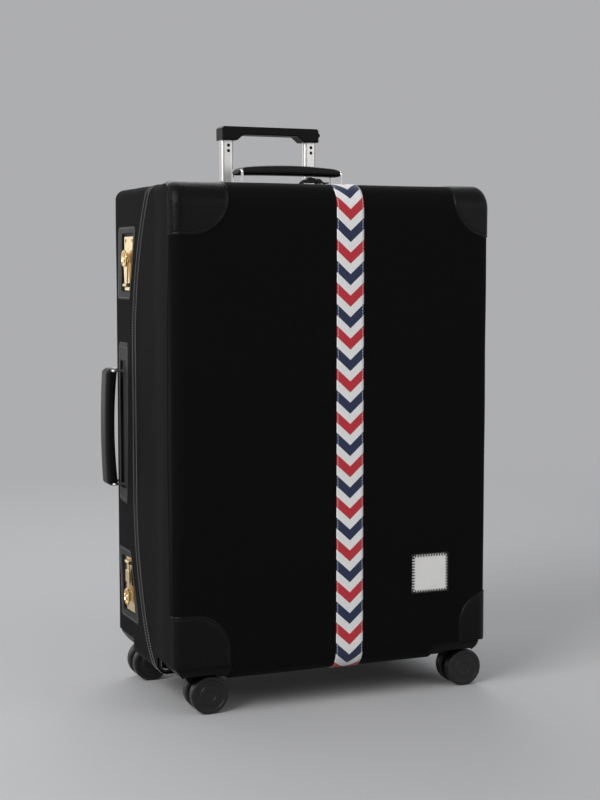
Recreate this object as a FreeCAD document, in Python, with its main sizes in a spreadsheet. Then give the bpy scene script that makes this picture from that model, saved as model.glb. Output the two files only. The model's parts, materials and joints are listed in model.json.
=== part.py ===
import FreeCAD, Part
import os
import Sketcher

# Four-wheeled trolley suitcase: two fibreboard half shells that part along a bowed line, dressed in a
# zipped cloth cover with leather corners. Millimetres, +Z up, front face towards -Y, floor at z = 0.
# The hinge side is +X, the side with the locks and the side handle is -X.

doc = FreeCAD.newDocument("suitcase")
sheet = doc.addObject("Spreadsheet::Sheet", "Dim")

DIMENSIONS = {
    # Case body
    "case_width": 508, "case_depth": 310, "case_height": 732.5, "floor_gap": 51,
    "front_round": 34, "rear_round": 16, "side_round": 14,
    "cover_thick": 1.6, "cover_gap": 0.4, "shell_thick": 3, "lining_thick": 1.2, "rail_thick": 1.8,
    "rail_width": 14, "patch_thick": 1.2, "ribbon_thick": 0.8,
    # Parting line between the halves, seen from the side
    "part_y": 46, "part_top_z": 670, "part_low_z": 187.4, "part_bow": 395, "part_top_y": -73,
    "part_turn_y": -24.6, "part_turn_z": 80, "part_turn_round": 40, "part_foot_y": -94, "part_foot_z": 20,
    "part_head_z": 830, "part_play": 0.3, "zip_half": 4.2, "zip_edge": 4.6, "zip_proud": 0.8, "zip_bed": 0.2,
    "zip_stop": 6,
    # Corner leathers, ribbon and blank label on the front
    "corner_left_x": -169, "corner_upper_right_x": 195, "corner_lower_right_x": 208,
    "corner_upper_z": 707, "corner_lower_z": 156, "corner_arc": 58, "corner_side_y": -140,
    "corner_wrap": 46, "corner_flank": 4, "ribbon_x": 21, "ribbon_width": 44, "label_x": 157,
    "label_z": 191.5, "label_width": 61, "label_height": 59, "label_thick": 0.9, "label_round": 2,
    # Caster corners
    "caster_x": 213, "rear_caster_x": 198, "caster_y": 109, "caster_trail": 19, "notch_x": 165,
    "rear_notch_x": 148, "notch_y": 63.5, "notch_z": 78, "housing_inset": 3, "housing_foot_z": 57,
    "housing_rake": 59, "swivel_recess": 40, "swivel_roof_z": 62.5, "stem_radius": 6, "stem_play": 0.06,
    "stem_top_z": 75, "stem_end_play": 0.5, "fork_disc_radius": 20, "fork_disc_low_z": 58.9,
    "fork_disc_high_z": 62, "fork_web": 11, "fork_root": 1, "fork_neck": 7, "fork_back": -15,
    "fork_flare": 2, "fork_front": 18, "fork_hub": 9, "fork_hub_drop": 3, "fork_foot": 5,
    "fork_foot_drop": 8, "wheel_radius": 29, "wheel_inner": 7.5, "wheel_outer": 22.5, "wheel_edge": 2,
    "wheel_round": 3, "wheel_rim": 6, "wheel_groove": 8, "wheel_band": 6, "groove_slope": 1,
    "groove_deep": 0.8, "axle_radius": 3, "axle_half": 18, "axle_play": 0.05, "axle_end_play": 0.6,
    # Pull-out handles
    "wire_radius": 2, "wire_play": 0.06, "wire_hole": 2.8, "wire_bend": 3, "leg_spread": 21.3,
    "leg_length": 80, "leg_head_radius": 3.5, "leg_head": 3, "grip_half_width": 18.2, "grip_overhang": 3.5,
    "grip_bevel": 3.5, "top_grip_under": 7.2, "top_grip_end": 2.2, "top_grip_shoulder": 6.2,
    "top_grip_taper": 14, "top_grip_arch": 4000, "top_grip_crown": 800, "side_grip_under": 10.4,
    "side_grip_end": 4.5, "side_grip_shoulder": 8.6, "side_grip_taper": 6, "side_grip_arch": 800,
    "side_grip_crown": 1500, "top_handle_y": 43, "top_handle_z": 812.8, "top_handle_span": 168.6,
    "side_handle_y": 115.8, "side_handle_z": 409.6, "side_handle_x": -275.4, "side_handle_span": 179.4,
    "guide_long": 36, "guide_width": 14, "guide_reach": 25.2,
    # Trolley
    "trolley_x": -2, "trolley_y": 123, "tube_spacing": 144.4, "inner_tube_width": 22,
    "inner_tube_depth": 13, "tube_round": 5.8, "tube_wall": 1.2, "tube_play": 0.3, "inner_tube_low_z": 150,
    "middle_tube_low_z": 72, "middle_tube_high_z": 781.5, "tube_mouth_play": 0.5,
    "trolley_grip_width": 168, "trolley_grip_low_z": 866, "trolley_grip_arch_z": 875,
    "trolley_grip_high_z": 888, "trolley_grip_half_depth": 16, "trolley_grip_end": 26,
    "trolley_grip_slope": 11, "trolley_grip_bevel": 3, "trolley_grip_round": 2, "arch_round": 6,
    "tube_socket": 5, "plug_radius": 2.7, "plug_sunk": 0.1, "plug_high_z": 858, "plug_low_z": 849.4,
    "plug_x": 1.6, "button_height": 6.5, "button_width": 14, "button_z": 878.5, "button_proud": 6,
    "button_deep": 7, "button_room": 3, "button_round": 3, "button_edge": 1.2, "button_play": 0.4,
    "bezel_half_x": 95, "bezel_half_y": 14, "bezel_thick": 3, "bezel_round": 10, "bezel_edge": 1.2,
    "trolley_box_half_x": 98, "trolley_box_front_y": 106, "trolley_box_wall": 2,
    # Locks in the windows of the left side
    "window_round": 3, "window_frame_thick": 1.2, "window_frame_round": 4, "lock_plate_thick": 1.4,
    "lock_axis_x": -257.2, "lock_pin_radius": 1.25, "lock_pin_play": 0.06, "lock_pin_half": 10,
    "lock_barrel_radius": 3, "lock_barrel_half": 6, "lock_ear": 3.6, "lock_gap": 0.4, "hasp_thick": 2,
    "hasp_inner_x": -256.2, "hasp_half_low": 5.6, "hasp_foot": 2, "hasp_end": 9, "hasp_nose": 14,
    "hasp_corner": 3, "hasp_edge": 0.9, "collar_near": 13, "collar_far": 32, "collar_half": 9.5,
    "collar_thick": 1.2, "knob_radius": 13.2, "knob_thick": 2.6, "knob_floor": 1.2, "knob_gap": 0.4,
    "knob_rim": 2.6, "knob_hub": 3.4, "knob_slope": 0.6, "knob_edge": 0.8, "knob_stem": 4,
    "knob_stem_play": 0.06, "knob_stem_end": 0.3, "cross_half": 1.5, "cross_reach": 11, "cross_tall": 1.5,
    "keeper_half": 7, "keeper_thick": 1.8, "upper_lock_y": 77, "upper_lock_z": 634,
    "upper_knob_reach": 41.5, "upper_hasp_half": 11, "lower_lock_y": 79.5, "lower_lock_z": 197,
    "lower_knob_reach": 55, "lower_hasp_half": 8, "screw_radius": 2.6, "screw_dome": 1.3,
    "screw_shank": 1.2, "screw_end": 0.15,
    # Lid hinges on the right side
    "hinge_x": 258, "hinge_barrel": 3.2, "hinge_pin_radius": 1.6, "hinge_pin_play": 0.06,
    "hinge_high_z": 482, "hinge_low_z": 364, "hinge_half": 30, "hinge_third": 10, "hinge_play": 0.4,
    "leaf_thick": 1.5, "leaf_near": 3.8, "leaf_far": 28,
    # Zip slider and its leather pull
    "slider_x": 32.5, "slider_half": 7, "slider_lift": 0.4, "slider_thick": 2.6, "slider_front": 3.4,
    "slider_back": 5.4, "pull_length": 46, "pull_half": 8, "pull_thick": 3.2, "pull_flat": 4,
    "pull_fold": 12, "pull_fold_rise": 6.5, "pull_ridge": 30, "pull_ridge_rise": 9.5, "pull_fall": 42,
    "pull_fall_rise": 3.5, "pull_drop": 5.7, "pull_neck": 9, "pull_eye_half": 1.2, "pull_eye_end": 2.6,
    "pull_round": 6, "pull_pin_radius": 1.1, "pull_pin_play": 0.08, "pull_pin_lift": 3.5, "post_half": 3,
    "post_near": 1.6, "post_far": 3.2, "post_tall": 5.5, "post_root": 0.5,
}
for row, (alias, number) in enumerate(DIMENSIONS.items(), start=1):
    sheet.set(f"A{row}", str(number))
    sheet.setAlias(f"A{row}", alias)
doc.recompute()

FRONT_Y = "-Dim.case_depth / 2"
REAR_Y = "Dim.case_depth / 2"
LEFT_X = "-Dim.case_width / 2"
RIGHT_X = "Dim.case_width / 2"
BOTTOM_Z = "Dim.floor_gap"
TOP_Z = "(Dim.floor_gap + Dim.case_height)"
SHELL_OUT = "(Dim.cover_thick + Dim.cover_gap)"
SHELL_IN = f"({SHELL_OUT} + Dim.shell_thick)"
LINING_IN = f"({SHELL_IN} + Dim.lining_thick)"
RAIL_IN = f"({SHELL_IN} + Dim.rail_thick)"
PAST_ALL = "60"

pieces = {}


def value(expression):
    """Number that an expression over the sheet's cells comes to."""
    return float(sheet.evalExpression(expression))


def keep(label, item):
    """List an object as a sub-part of the suitcase under its own label."""
    item.Label = label
    pieces[label] = item
    return item


def bind(item, **expressions):
    """Bind an object's properties to expressions; a double underscore stands for a dot."""
    for name, expression in expressions.items():
        item.setExpression(name.replace("__", "."), expression)
    return item


def place(item, x="0", y="0", z="0", turn=None):
    """Put an object at x, y, z, turned by turn = (axis, degrees)."""
    if turn:
        axis, degrees = turn
        item.Placement.Rotation = FreeCAD.Rotation(FreeCAD.Vector(*axis), degrees)
    return bind(item, Placement__Base__x=x, Placement__Base__y=y, Placement__Base__z=z)


# Part primitives and booleans


def box(name, x, y, z):
    """Box between the two ends given for each axis."""
    item = doc.addObject("Part::Box", name)
    bind(item, Length=f"({x[1]}) - ({x[0]})", Width=f"({y[1]}) - ({y[0]})", Height=f"({z[1]}) - ({z[0]})")
    return place(item, x[0], y[0], z[0])


def span(centre, half):
    """The two ends of a length about its centre."""
    return f"{centre} - {half}", f"{centre} + {half}"


def in_order(first, second):
    """Two ends of a length, the lower one first."""
    return (first, second) if value(first) < value(second) else (second, first)


TURNS = {"x": ((0, 1, 0), 90), "y": ((1, 0, 0), -90), "z": None}


def rod(name, radius, length, along, x, y, z):
    """Cylinder that starts at x, y, z and runs along the axis named."""
    item = bind(doc.addObject("Part::Cylinder", name), Radius=radius, Height=length)
    return place(item, x, y, z, TURNS[along])


def fuse(name, parts):
    item = doc.addObject("Part::MultiFuse", name)
    item.Shapes = parts
    return item


def cut(name, base, tools):
    item = doc.addObject("Part::Cut", name)
    item.Base = base
    item.Tool = tools[0] if len(tools) == 1 else fuse(name + "_tools", tools)
    return item


def common(name, first, second):
    item = doc.addObject("Part::Common", name)
    item.Base = first
    item.Tool = second
    return item


def group(name, parts):
    """Several like solids in one sub-part."""
    item = doc.addObject("Part::Compound", name)
    item.Links = parts
    return item


# Sketches and PartDesign features


def new_body(name):
    return doc.addObject("PartDesign::Body", name)


def sketch_on(body, role, offset="0"):
    """Empty sketch on one of the body's own origin planes, moved along its normal by offset."""
    sketch = body.newObject("Sketcher::SketchObject", body.Name + "_sketch")
    plane = [item for item in body.Origin.OriginFeatures if item.Role == role][0]
    sketch.AttachmentSupport = (plane, [""])
    sketch.MapMode = "FlatFace"
    return bind(sketch, AttachmentOffset__Base__z=offset)


def fix_point(sketch, edge, end, u, v, letters="uv"):
    """Hold one point of a sketch edge at u, v; the letters name the two constraints."""
    for kind, letter, expression in (("DistanceX", letters[0], u), ("DistanceY", letters[1], v)):
        index = sketch.addConstraint(Sketcher.Constraint(kind, -1, 1, edge, end, value(expression)))
        sketch.renameConstraint(index, f"{letter}{edge}")
        sketch.setExpression(f"Constraints.{letter}{edge}", expression)


def fix_radius(sketch, edge, radius):
    index = sketch.addConstraint(Sketcher.Constraint("Radius", edge, abs(value(radius))))
    sketch.renameConstraint(index, f"r{edge}")
    sketch.setExpression(f"Constraints.r{edge}", f"abs({radius})")


def arc_between(start, stop, radius):
    """Arc of less than a half circle, turning left for a positive radius and right for a negative one."""
    chord = stop - start
    side = FreeCAD.Vector(chord.y, -chord.x, 0).normalize()
    half = chord.Length / 2
    sagitta = abs(radius) - (radius ** 2 - half ** 2) ** 0.5
    middle = (start + stop) / 2 + side * (sagitta if radius > 0 else -sagitta)
    return Part.Arc(start, middle, stop)


def draw(sketch, points, closed=True):
    """Draw an outline. A point is (u, v), or (u, v, r) where an arc of radius r leads to the next one."""
    places = [FreeCAD.Vector(value(point[0]), value(point[1]), 0) for point in points]
    count = len(points)
    joins = []
    for i in range(count if closed else count - 1):
        point, start, stop = points[i], places[i], places[(i + 1) % count]
        if len(point) == 2:
            edge = sketch.addGeometry(Part.LineSegment(start, stop), False)
        else:
            edge = sketch.addGeometry(arc_between(start, stop, value(point[2])), False)
        forward = sketch.getPoint(edge, 1).distanceToPoint(start) < 1e-6
        joins.append((edge, 1, 2) if forward else (edge, 2, 1))
    for i, (edge, first, last) in enumerate(joins):
        fix_point(sketch, edge, first, points[i][0], points[i][1])
        following = joins[(i + 1) % len(joins)]
        if closed or i + 1 < len(joins):
            sketch.addConstraint(Sketcher.Constraint("Coincident", edge, last, following[0], following[1]))
        if len(points[i]) == 3:
            fix_radius(sketch, edge, points[i][2])
    if not closed:
        edge, first, last = joins[-1]
        fix_point(sketch, edge, last, points[-1][0], points[-1][1], "st")
    return sketch


def draw_circle(sketch, u, v, radius):
    centre = FreeCAD.Vector(value(u), value(v), 0)
    edge = sketch.addGeometry(Part.Circle(centre, FreeCAD.Vector(0, 0, 1), value(radius)), False)
    fix_point(sketch, edge, 3, u, v)
    fix_radius(sketch, edge, radius)
    return sketch


def draw_rounded(sketch, u, v, width, height, radius):
    """Rectangle with round corners about the point u, v."""
    a, b = f"(({width}) / 2)", f"(({height}) / 2)"
    r = f"({radius})"
    corners = [("-", "-"), ("+", "-"), ("+", "+"), ("-", "+")]
    points = []
    for i, (su, sv) in enumerate(corners):
        along = (f"{u} {su} ({a} - {r})", f"{v} {sv} {b}")
        across = (f"{u} {su} {a}", f"{v} {sv} ({b} - {r})")
        first, last = (across, along) if i % 2 == 0 else (along, across)
        points += [first + (r,), last]
    return draw(sketch, points)


def pad(body, sketch, length, midplane=False, backwards=False):
    feature = body.newObject("PartDesign::Pad", body.Name + "_pad")
    feature.Profile = sketch
    feature.Midplane = midplane
    feature.Reversed = backwards
    return bind(feature, Length=length)


def pocket(body, sketch, length, midplane=False, backwards=False):
    """Pocket that has to take material away."""
    doc.recompute()
    before = body.Shape.Volume
    feature = body.newObject("PartDesign::Pocket", body.Name + "_pocket")
    feature.Profile = sketch
    feature.Midplane = midplane
    feature.Reversed = backwards
    bind(feature, Length=length)
    doc.recompute()
    if not feature.Shape.Volume < before:
        raise RuntimeError(f"pocket in {body.Name} cuts nothing")
    return feature


def revolve(body, sketch, axis):
    feature = body.newObject("PartDesign::Revolution", body.Name + "_turned")
    feature.Profile = sketch
    feature.ReferenceAxis = (sketch, [axis])
    feature.Angle = 360
    return feature


def edge_names(feature, wanted):
    """Names of the feature's edges that wanted() picks."""
    return [f"Edge{i}" for i, edge in enumerate(feature.Shape.Edges, start=1) if wanted(edge)]


def soften(body, radius, wanted):
    """Fillet the edges of the body's tip that wanted() picks."""
    doc.recompute()
    base = body.Tip
    feature = body.newObject("PartDesign::Fillet", body.Name + "_fillet")
    feature.Base = (base, edge_names(base, wanted))
    return bind(feature, Radius=radius)


def bevel(body, size, wanted):
    """Chamfer the edges of the body's tip that wanted() picks."""
    doc.recompute()
    base = body.Tip
    feature = body.newObject("PartDesign::Chamfer", body.Name + "_chamfer")
    feature.Base = (base, edge_names(base, wanted))
    return bind(feature, Size=size)


def runs_along(edge, axis):
    """True where a straight edge is parallel to the axis, 0 for X, 1 for Y, 2 for Z."""
    spans = (edge.BoundBox.XLength, edge.BoundBox.YLength, edge.BoundBox.ZLength)
    return spans[axis] > 1e-3 and all(spans[i] < 1e-6 for i in range(3) if i != axis)


def lies_at(edge, axis, level):
    """True where the whole edge lies in the plane at that level of the axis."""
    limits = edge.BoundBox
    low, high = ((limits.XMin, limits.XMax), (limits.YMin, limits.YMax), (limits.ZMin, limits.ZMax))[axis]
    return abs(low - level) < 1e-4 and abs(high - level) < 1e-4


def middle_of(edge):
    return edge.BoundBox.Center


# Form of the case and its parting line

blocks = {}
regions = {}


def case_block(inset):
    """Solid of the whole case's outer form, moved in by inset on every side."""
    if inset not in blocks:
        body = new_body("case_block")
        low, high = f"{FRONT_Y} + {inset}", f"{REAR_Y} - {inset}"
        foot, head = f"{BOTTOM_Z} + {inset}", f"{TOP_Z} - {inset}"
        sketch = draw(sketch_on(body, "YZ_Plane"), [(low, foot), (high, foot), (high, head), (low, head)])
        width = f"Dim.case_width - 2 * {inset}"
        pad(body, sketch, width, midplane=True)
        soften(body, f"Dim.front_round - {inset}", lambda e: runs_along(e, 0) and middle_of(e).y < 0)
        rear = value(high)
        soften(body, f"Dim.rear_round - {inset}", lambda e: runs_along(e, 0) and middle_of(e).y > rear - 1)
        half = value(width) / 2
        soften(body, f"Dim.side_round - {inset}", lambda e: lies_at(e, 0, half) or lies_at(e, 0, -half))
        blocks[inset] = body
    return blocks[inset]


def ring(name, outer, inner):
    """Hollow skin of the case between two insets."""
    return cut(name, case_block(outer), [case_block(inner)])


def rear_region(shift):
    """Everything behind the parting line, moved back by shift."""
    if shift not in regions:
        body = new_body("rear_region")
        straight, turn = f"Dim.part_y + {shift}", f"Dim.part_turn_y + {shift}"
        far = f"{REAR_Y} + {PAST_ALL}"
        points = [
            (far, "Dim.part_head_z"), (f"Dim.part_top_y + {shift}", "Dim.part_head_z"),
            (straight, "Dim.part_top_z"), (straight, "Dim.part_low_z"), (turn, "Dim.part_turn_z"),
            (f"Dim.part_foot_y + {shift}", "Dim.part_foot_z"), (far, "Dim.part_foot_z"),
        ]
        sketch = draw(sketch_on(body, "YZ_Plane"), points)
        pad(body, sketch, f"Dim.case_width + 2 * {PAST_ALL}", midplane=True)
        level, corner = value(straight), value(turn)
        soften(body, "Dim.part_bow", lambda e: runs_along(e, 0) and abs(middle_of(e).y - level) < 1e-3)
        soften(body, "Dim.part_turn_round",
               lambda e: runs_along(e, 0) and abs(middle_of(e).y - corner) < 1e-3)
        regions[shift] = body
    return regions[shift]


def behind(name, item, shift):
    return common(name, item, rear_region(shift))


def ahead(name, item, shift):
    return cut(name, item, [rear_region(shift)])


def between(name, item, near, far):
    """Part of an item that lies between two shifts of the parting line."""
    return ahead(name, behind(name + "_back", item, near), far)


CASTERS = {
    "front_left": ("-", "-"), "front_right": ("+", "-"), "rear_left": ("-", "+"), "rear_right": ("+", "+"),
}
CASTER_X = {"-": "Dim.caster_x", "+": "Dim.rear_caster_x"}
NOTCH_X = {"-": "Dim.notch_x", "+": "Dim.rear_notch_x"}


def corner_box(name, corner):
    """Box over one bottom corner of the case, where a caster sits."""
    sx, sy = CASTERS[corner]
    near_x, far_x = NOTCH_X[sy], f"({RIGHT_X} + {PAST_ALL})"
    near_y, far_y = "Dim.notch_y", f"({REAR_Y} + {PAST_ALL})"
    x = (near_x, far_x) if sx == "+" else (f"-{far_x}", f"-{near_x}")
    y = (near_y, far_y) if sy == "+" else (f"-{far_y}", f"-{near_y}")
    return box(name, x, y, ("0", "Dim.notch_z"))


def notches(name, side):
    """Corner cut-outs for the two casters at the front or the rear."""
    return [corner_box(f"{name}_notch_{corner}", corner) for corner in CASTERS if corner.startswith(side)]


# Places that pass through the rear half

TOP_LEGS = [(f"{sx} Dim.top_handle_span / 2", f"Dim.top_handle_y {sy} Dim.leg_spread")
            for sx in "-+" for sy in "-+"]
SIDE_LEGS = [(f"Dim.side_handle_y {sy} Dim.leg_spread", f"Dim.side_handle_z {sz} Dim.side_handle_span / 2")
             for sy in "-+" for sz in "-+"]
TUBE_X = [f"Dim.trolley_x {sign} Dim.tube_spacing / 2" for sign in "-+"]
MIDDLE_WIDTH = "(Dim.inner_tube_width + 2 * Dim.tube_play + 2 * Dim.tube_wall)"
MIDDLE_DEPTH = "(Dim.inner_tube_depth + 2 * Dim.tube_play + 2 * Dim.tube_wall)"
MIDDLE_ROUND = "(Dim.tube_round + Dim.tube_play + Dim.tube_wall)"
OUTER_WIDTH = f"({MIDDLE_WIDTH} + 2 * Dim.tube_play + 2 * Dim.tube_wall)"
OUTER_DEPTH = f"({MIDDLE_DEPTH} + 2 * Dim.tube_play + 2 * Dim.tube_wall)"
OUTER_ROUND = f"({MIDDLE_ROUND} + Dim.tube_play + Dim.tube_wall)"


def tube_mouth(name, x):
    """Solid of the hole in the top that the trolley's middle tube slides through."""
    body = new_body(name)
    sketch = sketch_on(body, "XY_Plane", TOP_Z)
    grow = "2 * Dim.tube_mouth_play"
    round_ = f"{MIDDLE_ROUND} + Dim.tube_mouth_play"
    draw_rounded(sketch, x, "Dim.trolley_y", f"{MIDDLE_WIDTH} + {grow}", f"{MIDDLE_DEPTH} + {grow}", round_)
    pad(body, sketch, PAST_ALL, midplane=True)
    return body


def wall_passages(name):
    """Holes through the rear half's walls for the handle legs and the trolley."""
    holes = [rod(name + "_leg", "Dim.wire_hole", PAST_ALL, "z", x, y, f"{TOP_Z} - {PAST_ALL} / 2")
             for x, y in TOP_LEGS]
    holes += [rod(name + "_leg", "Dim.wire_hole", PAST_ALL, "x", f"{LEFT_X} - {PAST_ALL} / 2", y, z)
              for y, z in SIDE_LEGS]
    holes += [tube_mouth(name + "_mouth", x) for x in TUBE_X]
    return holes


# Windows of the left side: outer and inner outlines, as (y, z) in millimetres

WINDOWS = {
    "upper": ([(31, 725), (67, 611), (135, 611), (126, 725)],
              [(42, 714), (68, 624), (109, 624), (104, 714)]),
    "handle": ([(78, 544), (89, 287), (132, 290), (131, 544)],
               [(91, 514), (91, 312), (122, 312), (122, 514)]),
    "lower": ([(75, 215), (29, 104), (126, 104), (139, 216)],
              [(69, 206), (50, 118), (113, 116), (123, 202)]),
}


def as_text(points):
    return [(str(u), str(v)) for u, v in points]


def window_opening(name, points):
    """Prism through the left wall with a window's outline."""
    body = new_body(name)
    sketch = draw(sketch_on(body, "YZ_Plane", LEFT_X), as_text(points))
    pad(body, sketch, PAST_ALL, midplane=True)
    soften(body, "Dim.window_round", lambda e: runs_along(e, 0))
    return body


def window_frame(name, outer, inner):
    """Flat leather binding around one window, on the outside of the cover."""
    body = new_body(name)
    sketch = draw(sketch_on(body, "YZ_Plane", LEFT_X), as_text(outer))
    pad(body, sketch, "Dim.window_frame_thick", backwards=True)
    soften(body, "Dim.window_frame_round", lambda e: runs_along(e, 0))
    return cut(name, body, [window_opening(name + "_opening", inner)])


# Rear half: shell, rail, lining, cover and zip


def rear_half():
    shell = behind("rear_shell_walls", ring("shell_skin", SHELL_OUT, SHELL_IN), "Dim.part_play")
    openings = notches("rear_shell", "rear") + wall_passages("shell")
    keep("rear_shell", cut("rear_shell", shell, openings))

    rail = between("rear_rail_band", ring("rail_skin", SHELL_IN, RAIL_IN), "Dim.part_play",
                   "(Dim.rail_width + Dim.part_play)")
    keep("rear_rail", rail)

    lining = behind("rear_lining_walls", ring("lining_skin", SHELL_IN, LINING_IN),
                    "(Dim.rail_width + 2 * Dim.part_play)")
    openings = notches("rear_lining", "rear") + wall_passages("lining") + guide_clearances()
    keep("rear_lining", cut("rear_lining", lining, openings))

    cover = behind("rear_cover_walls", ring("cover_skin", "0", "Dim.cover_thick"), "Dim.zip_edge")
    openings = notches("rear_cover", "rear") + wall_passages("cover")
    openings += [window_opening(f"cover_{name}", inner) for name, (outer, inner) in WINDOWS.items()]
    keep("rear_cover", cut("rear_cover", cover, openings))

    frames = [window_frame(f"{name}_window_frame", outer, inner) for name, (outer, inner) in WINDOWS.items()]
    keep("window_frames", group("window_frames", frames))

    tape = ring("zip_skin", "(-Dim.zip_proud)", "(Dim.cover_thick - Dim.zip_bed)")
    rear_tape = between("zip_rear_band", tape, "Dim.part_play", "Dim.zip_half")
    keep("zip_rear", cut("zip_rear", rear_tape, [hinge_gap("zip_rear_gap")]))
    front_tape = between("zip_front_band", tape, "(-Dim.zip_half)", "(-Dim.part_play)")
    keep("zip_front", cut("zip_front", front_tape, [hinge_gap("zip_front_gap")]))


def hinge_gap(name):
    """Stretch of the right side where the zip leaves room for the hinges."""
    reach = "(Dim.hinge_half + Dim.zip_stop)"
    return box(name, span(RIGHT_X, PAST_ALL), span("Dim.part_y", PAST_ALL),
               (f"Dim.hinge_low_z - {reach}", f"Dim.hinge_high_z + {reach}"))


# Front half: shell, rail, lining, cover, leathers, ribbon and label


def corner_leather(name, x, z):
    """Leather over one front corner, bounded by a rounded rectangle on the front face."""
    body = new_body(name)
    inner_x, outer_x = x
    inner_z, outer_z = z
    points = [(inner_x, inner_z), (outer_x, inner_z), (outer_x, outer_z), (inner_x, outer_z)]
    sketch = draw(sketch_on(body, "XZ_Plane", f"{REAR_Y} - Dim.corner_wrap"), points)
    pad(body, sketch, "2 * Dim.corner_wrap")
    u, w = value(inner_x), value(inner_z)
    soften(body, "Dim.corner_arc",
           lambda e: runs_along(e, 1) and abs(middle_of(e).x - u) < 1e-3 and abs(middle_of(e).z - w) < 1e-3)
    skin = ring(name + "_skin", "(-Dim.patch_thick)", "0")
    flank = f"({RIGHT_X} - Dim.corner_flank)"
    depth, height = ("Dim.corner_side_y", "0"), ("0", f"{TOP_Z} + {PAST_ALL}")
    sides = [box(name + "_side", x, depth, height)
             for x in ((f"-{RIGHT_X} - {PAST_ALL}", f"-{flank}"), (flank, f"{RIGHT_X} + {PAST_ALL}"))]
    return cut(name, common(name + "_cap", skin, body), sides)


def front_half():
    shell = ahead("front_shell_walls", ring("shell_skin", SHELL_OUT, SHELL_IN), "(-Dim.part_play)")
    keep("front_shell", cut("front_shell", shell, notches("front_shell", "front")))

    rail = between("front_rail_band", ring("rail_skin", SHELL_IN, RAIL_IN),
                   "(-Dim.rail_width - Dim.part_play)", "(-Dim.part_play)")
    keep("front_rail", cut("front_rail", rail, notches("front_rail", "front")))

    lining = ahead("front_lining_walls", ring("lining_skin", SHELL_IN, LINING_IN),
                   "(-Dim.rail_width - 2 * Dim.part_play)")
    keep("front_lining", cut("front_lining", lining, notches("front_lining", "front")))

    cover = ahead("front_cover_walls", ring("cover_skin", "0", "Dim.cover_thick"), "(-Dim.zip_edge)")
    keep("front_cover", cut("front_cover", cover, notches("front_cover", "front")))

    head = f"{TOP_Z} + {PAST_ALL}"
    left = ("Dim.corner_left_x", f"{LEFT_X} - {PAST_ALL}")
    upper_right = ("Dim.corner_upper_right_x", f"{RIGHT_X} + {PAST_ALL}")
    lower_right = ("Dim.corner_lower_right_x", f"{RIGHT_X} + {PAST_ALL}")
    above, below = ("Dim.corner_upper_z", head), ("Dim.corner_lower_z", "Dim.notch_z")
    upper = [corner_leather("upper_leather", x, above) for x in (left, upper_right)]
    lower = [corner_leather("lower_leather", x, below) for x in (left, lower_right)]
    keep("upper_corner_leathers", group("upper_corner_leathers", upper))
    keep("lower_corner_leathers", group("lower_corner_leathers", lower))

    band = box("ribbon_span", ("Dim.ribbon_x - Dim.ribbon_width / 2", "Dim.ribbon_x + Dim.ribbon_width / 2"),
               (f"{FRONT_Y} - {PAST_ALL}", REAR_Y), ("0", head))
    skin = common("ribbon_skin", ring("ribbon_ring", "(-Dim.ribbon_thick)", "0"), band)
    keep("front_ribbon", ahead("front_ribbon", skin, "(-Dim.zip_edge)"))

    label = new_body("label_patch")
    sketch = sketch_on(label, "XZ_Plane", REAR_Y)
    draw_rounded(sketch, "Dim.label_x", "Dim.label_z", "Dim.label_width", "Dim.label_height",
                 "Dim.label_round")
    pad(label, sketch, "Dim.label_thick")
    keep("label_patch", label)


# Casters


def caster_centre(corner):
    sx, sy = CASTERS[corner]
    return f"{sx} {CASTER_X[sy]}", f"{sy} Dim.caster_y"


def housing_rake(name, sx):
    """Wedge off the outer side of a housing, which leans in towards the wheels."""
    body = new_body(name)
    points = [(f"{sx} {RIGHT_X}", "Dim.notch_z"), (f"{sx} {RIGHT_X}", "0"),
              (f"{sx} ({RIGHT_X} - Dim.housing_rake)", "0")]
    pad(body, draw(sketch_on(body, "XZ_Plane"), points), "2 * Dim.case_depth", midplane=True)
    return body


def caster_housing(corner):
    """Corner block that carries one caster, hollowed for the swivelling wheels and bored for the stem."""
    x, y = caster_centre(corner)
    name = f"{corner}_housing"
    form = common(name + "_form", case_block("Dim.housing_inset"), corner_box(name + "_blank", corner))
    under = box(name + "_under", (f"{LEFT_X} - {PAST_ALL}", f"{RIGHT_X} + {PAST_ALL}"),
                (f"{FRONT_Y} - {PAST_ALL}", f"{REAR_Y} + {PAST_ALL}"), ("0", "Dim.housing_foot_z"))
    recess = rod(name + "_recess", "Dim.swivel_recess", "Dim.swivel_roof_z", "z", x, y, "0")
    bore = rod(name + "_bore", "Dim.stem_radius + Dim.stem_play", "Dim.stem_top_z + Dim.stem_end_play", "z",
               x, y, "0")
    return cut(name, form, [under, recess, bore, housing_rake(name + "_rake", CASTERS[corner][0])])


def caster_yaw(corner):
    """Way that the wheels trail at rest: to the right at the front, to the left at the rear."""
    return 0 if corner.startswith("front") else 180


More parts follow.
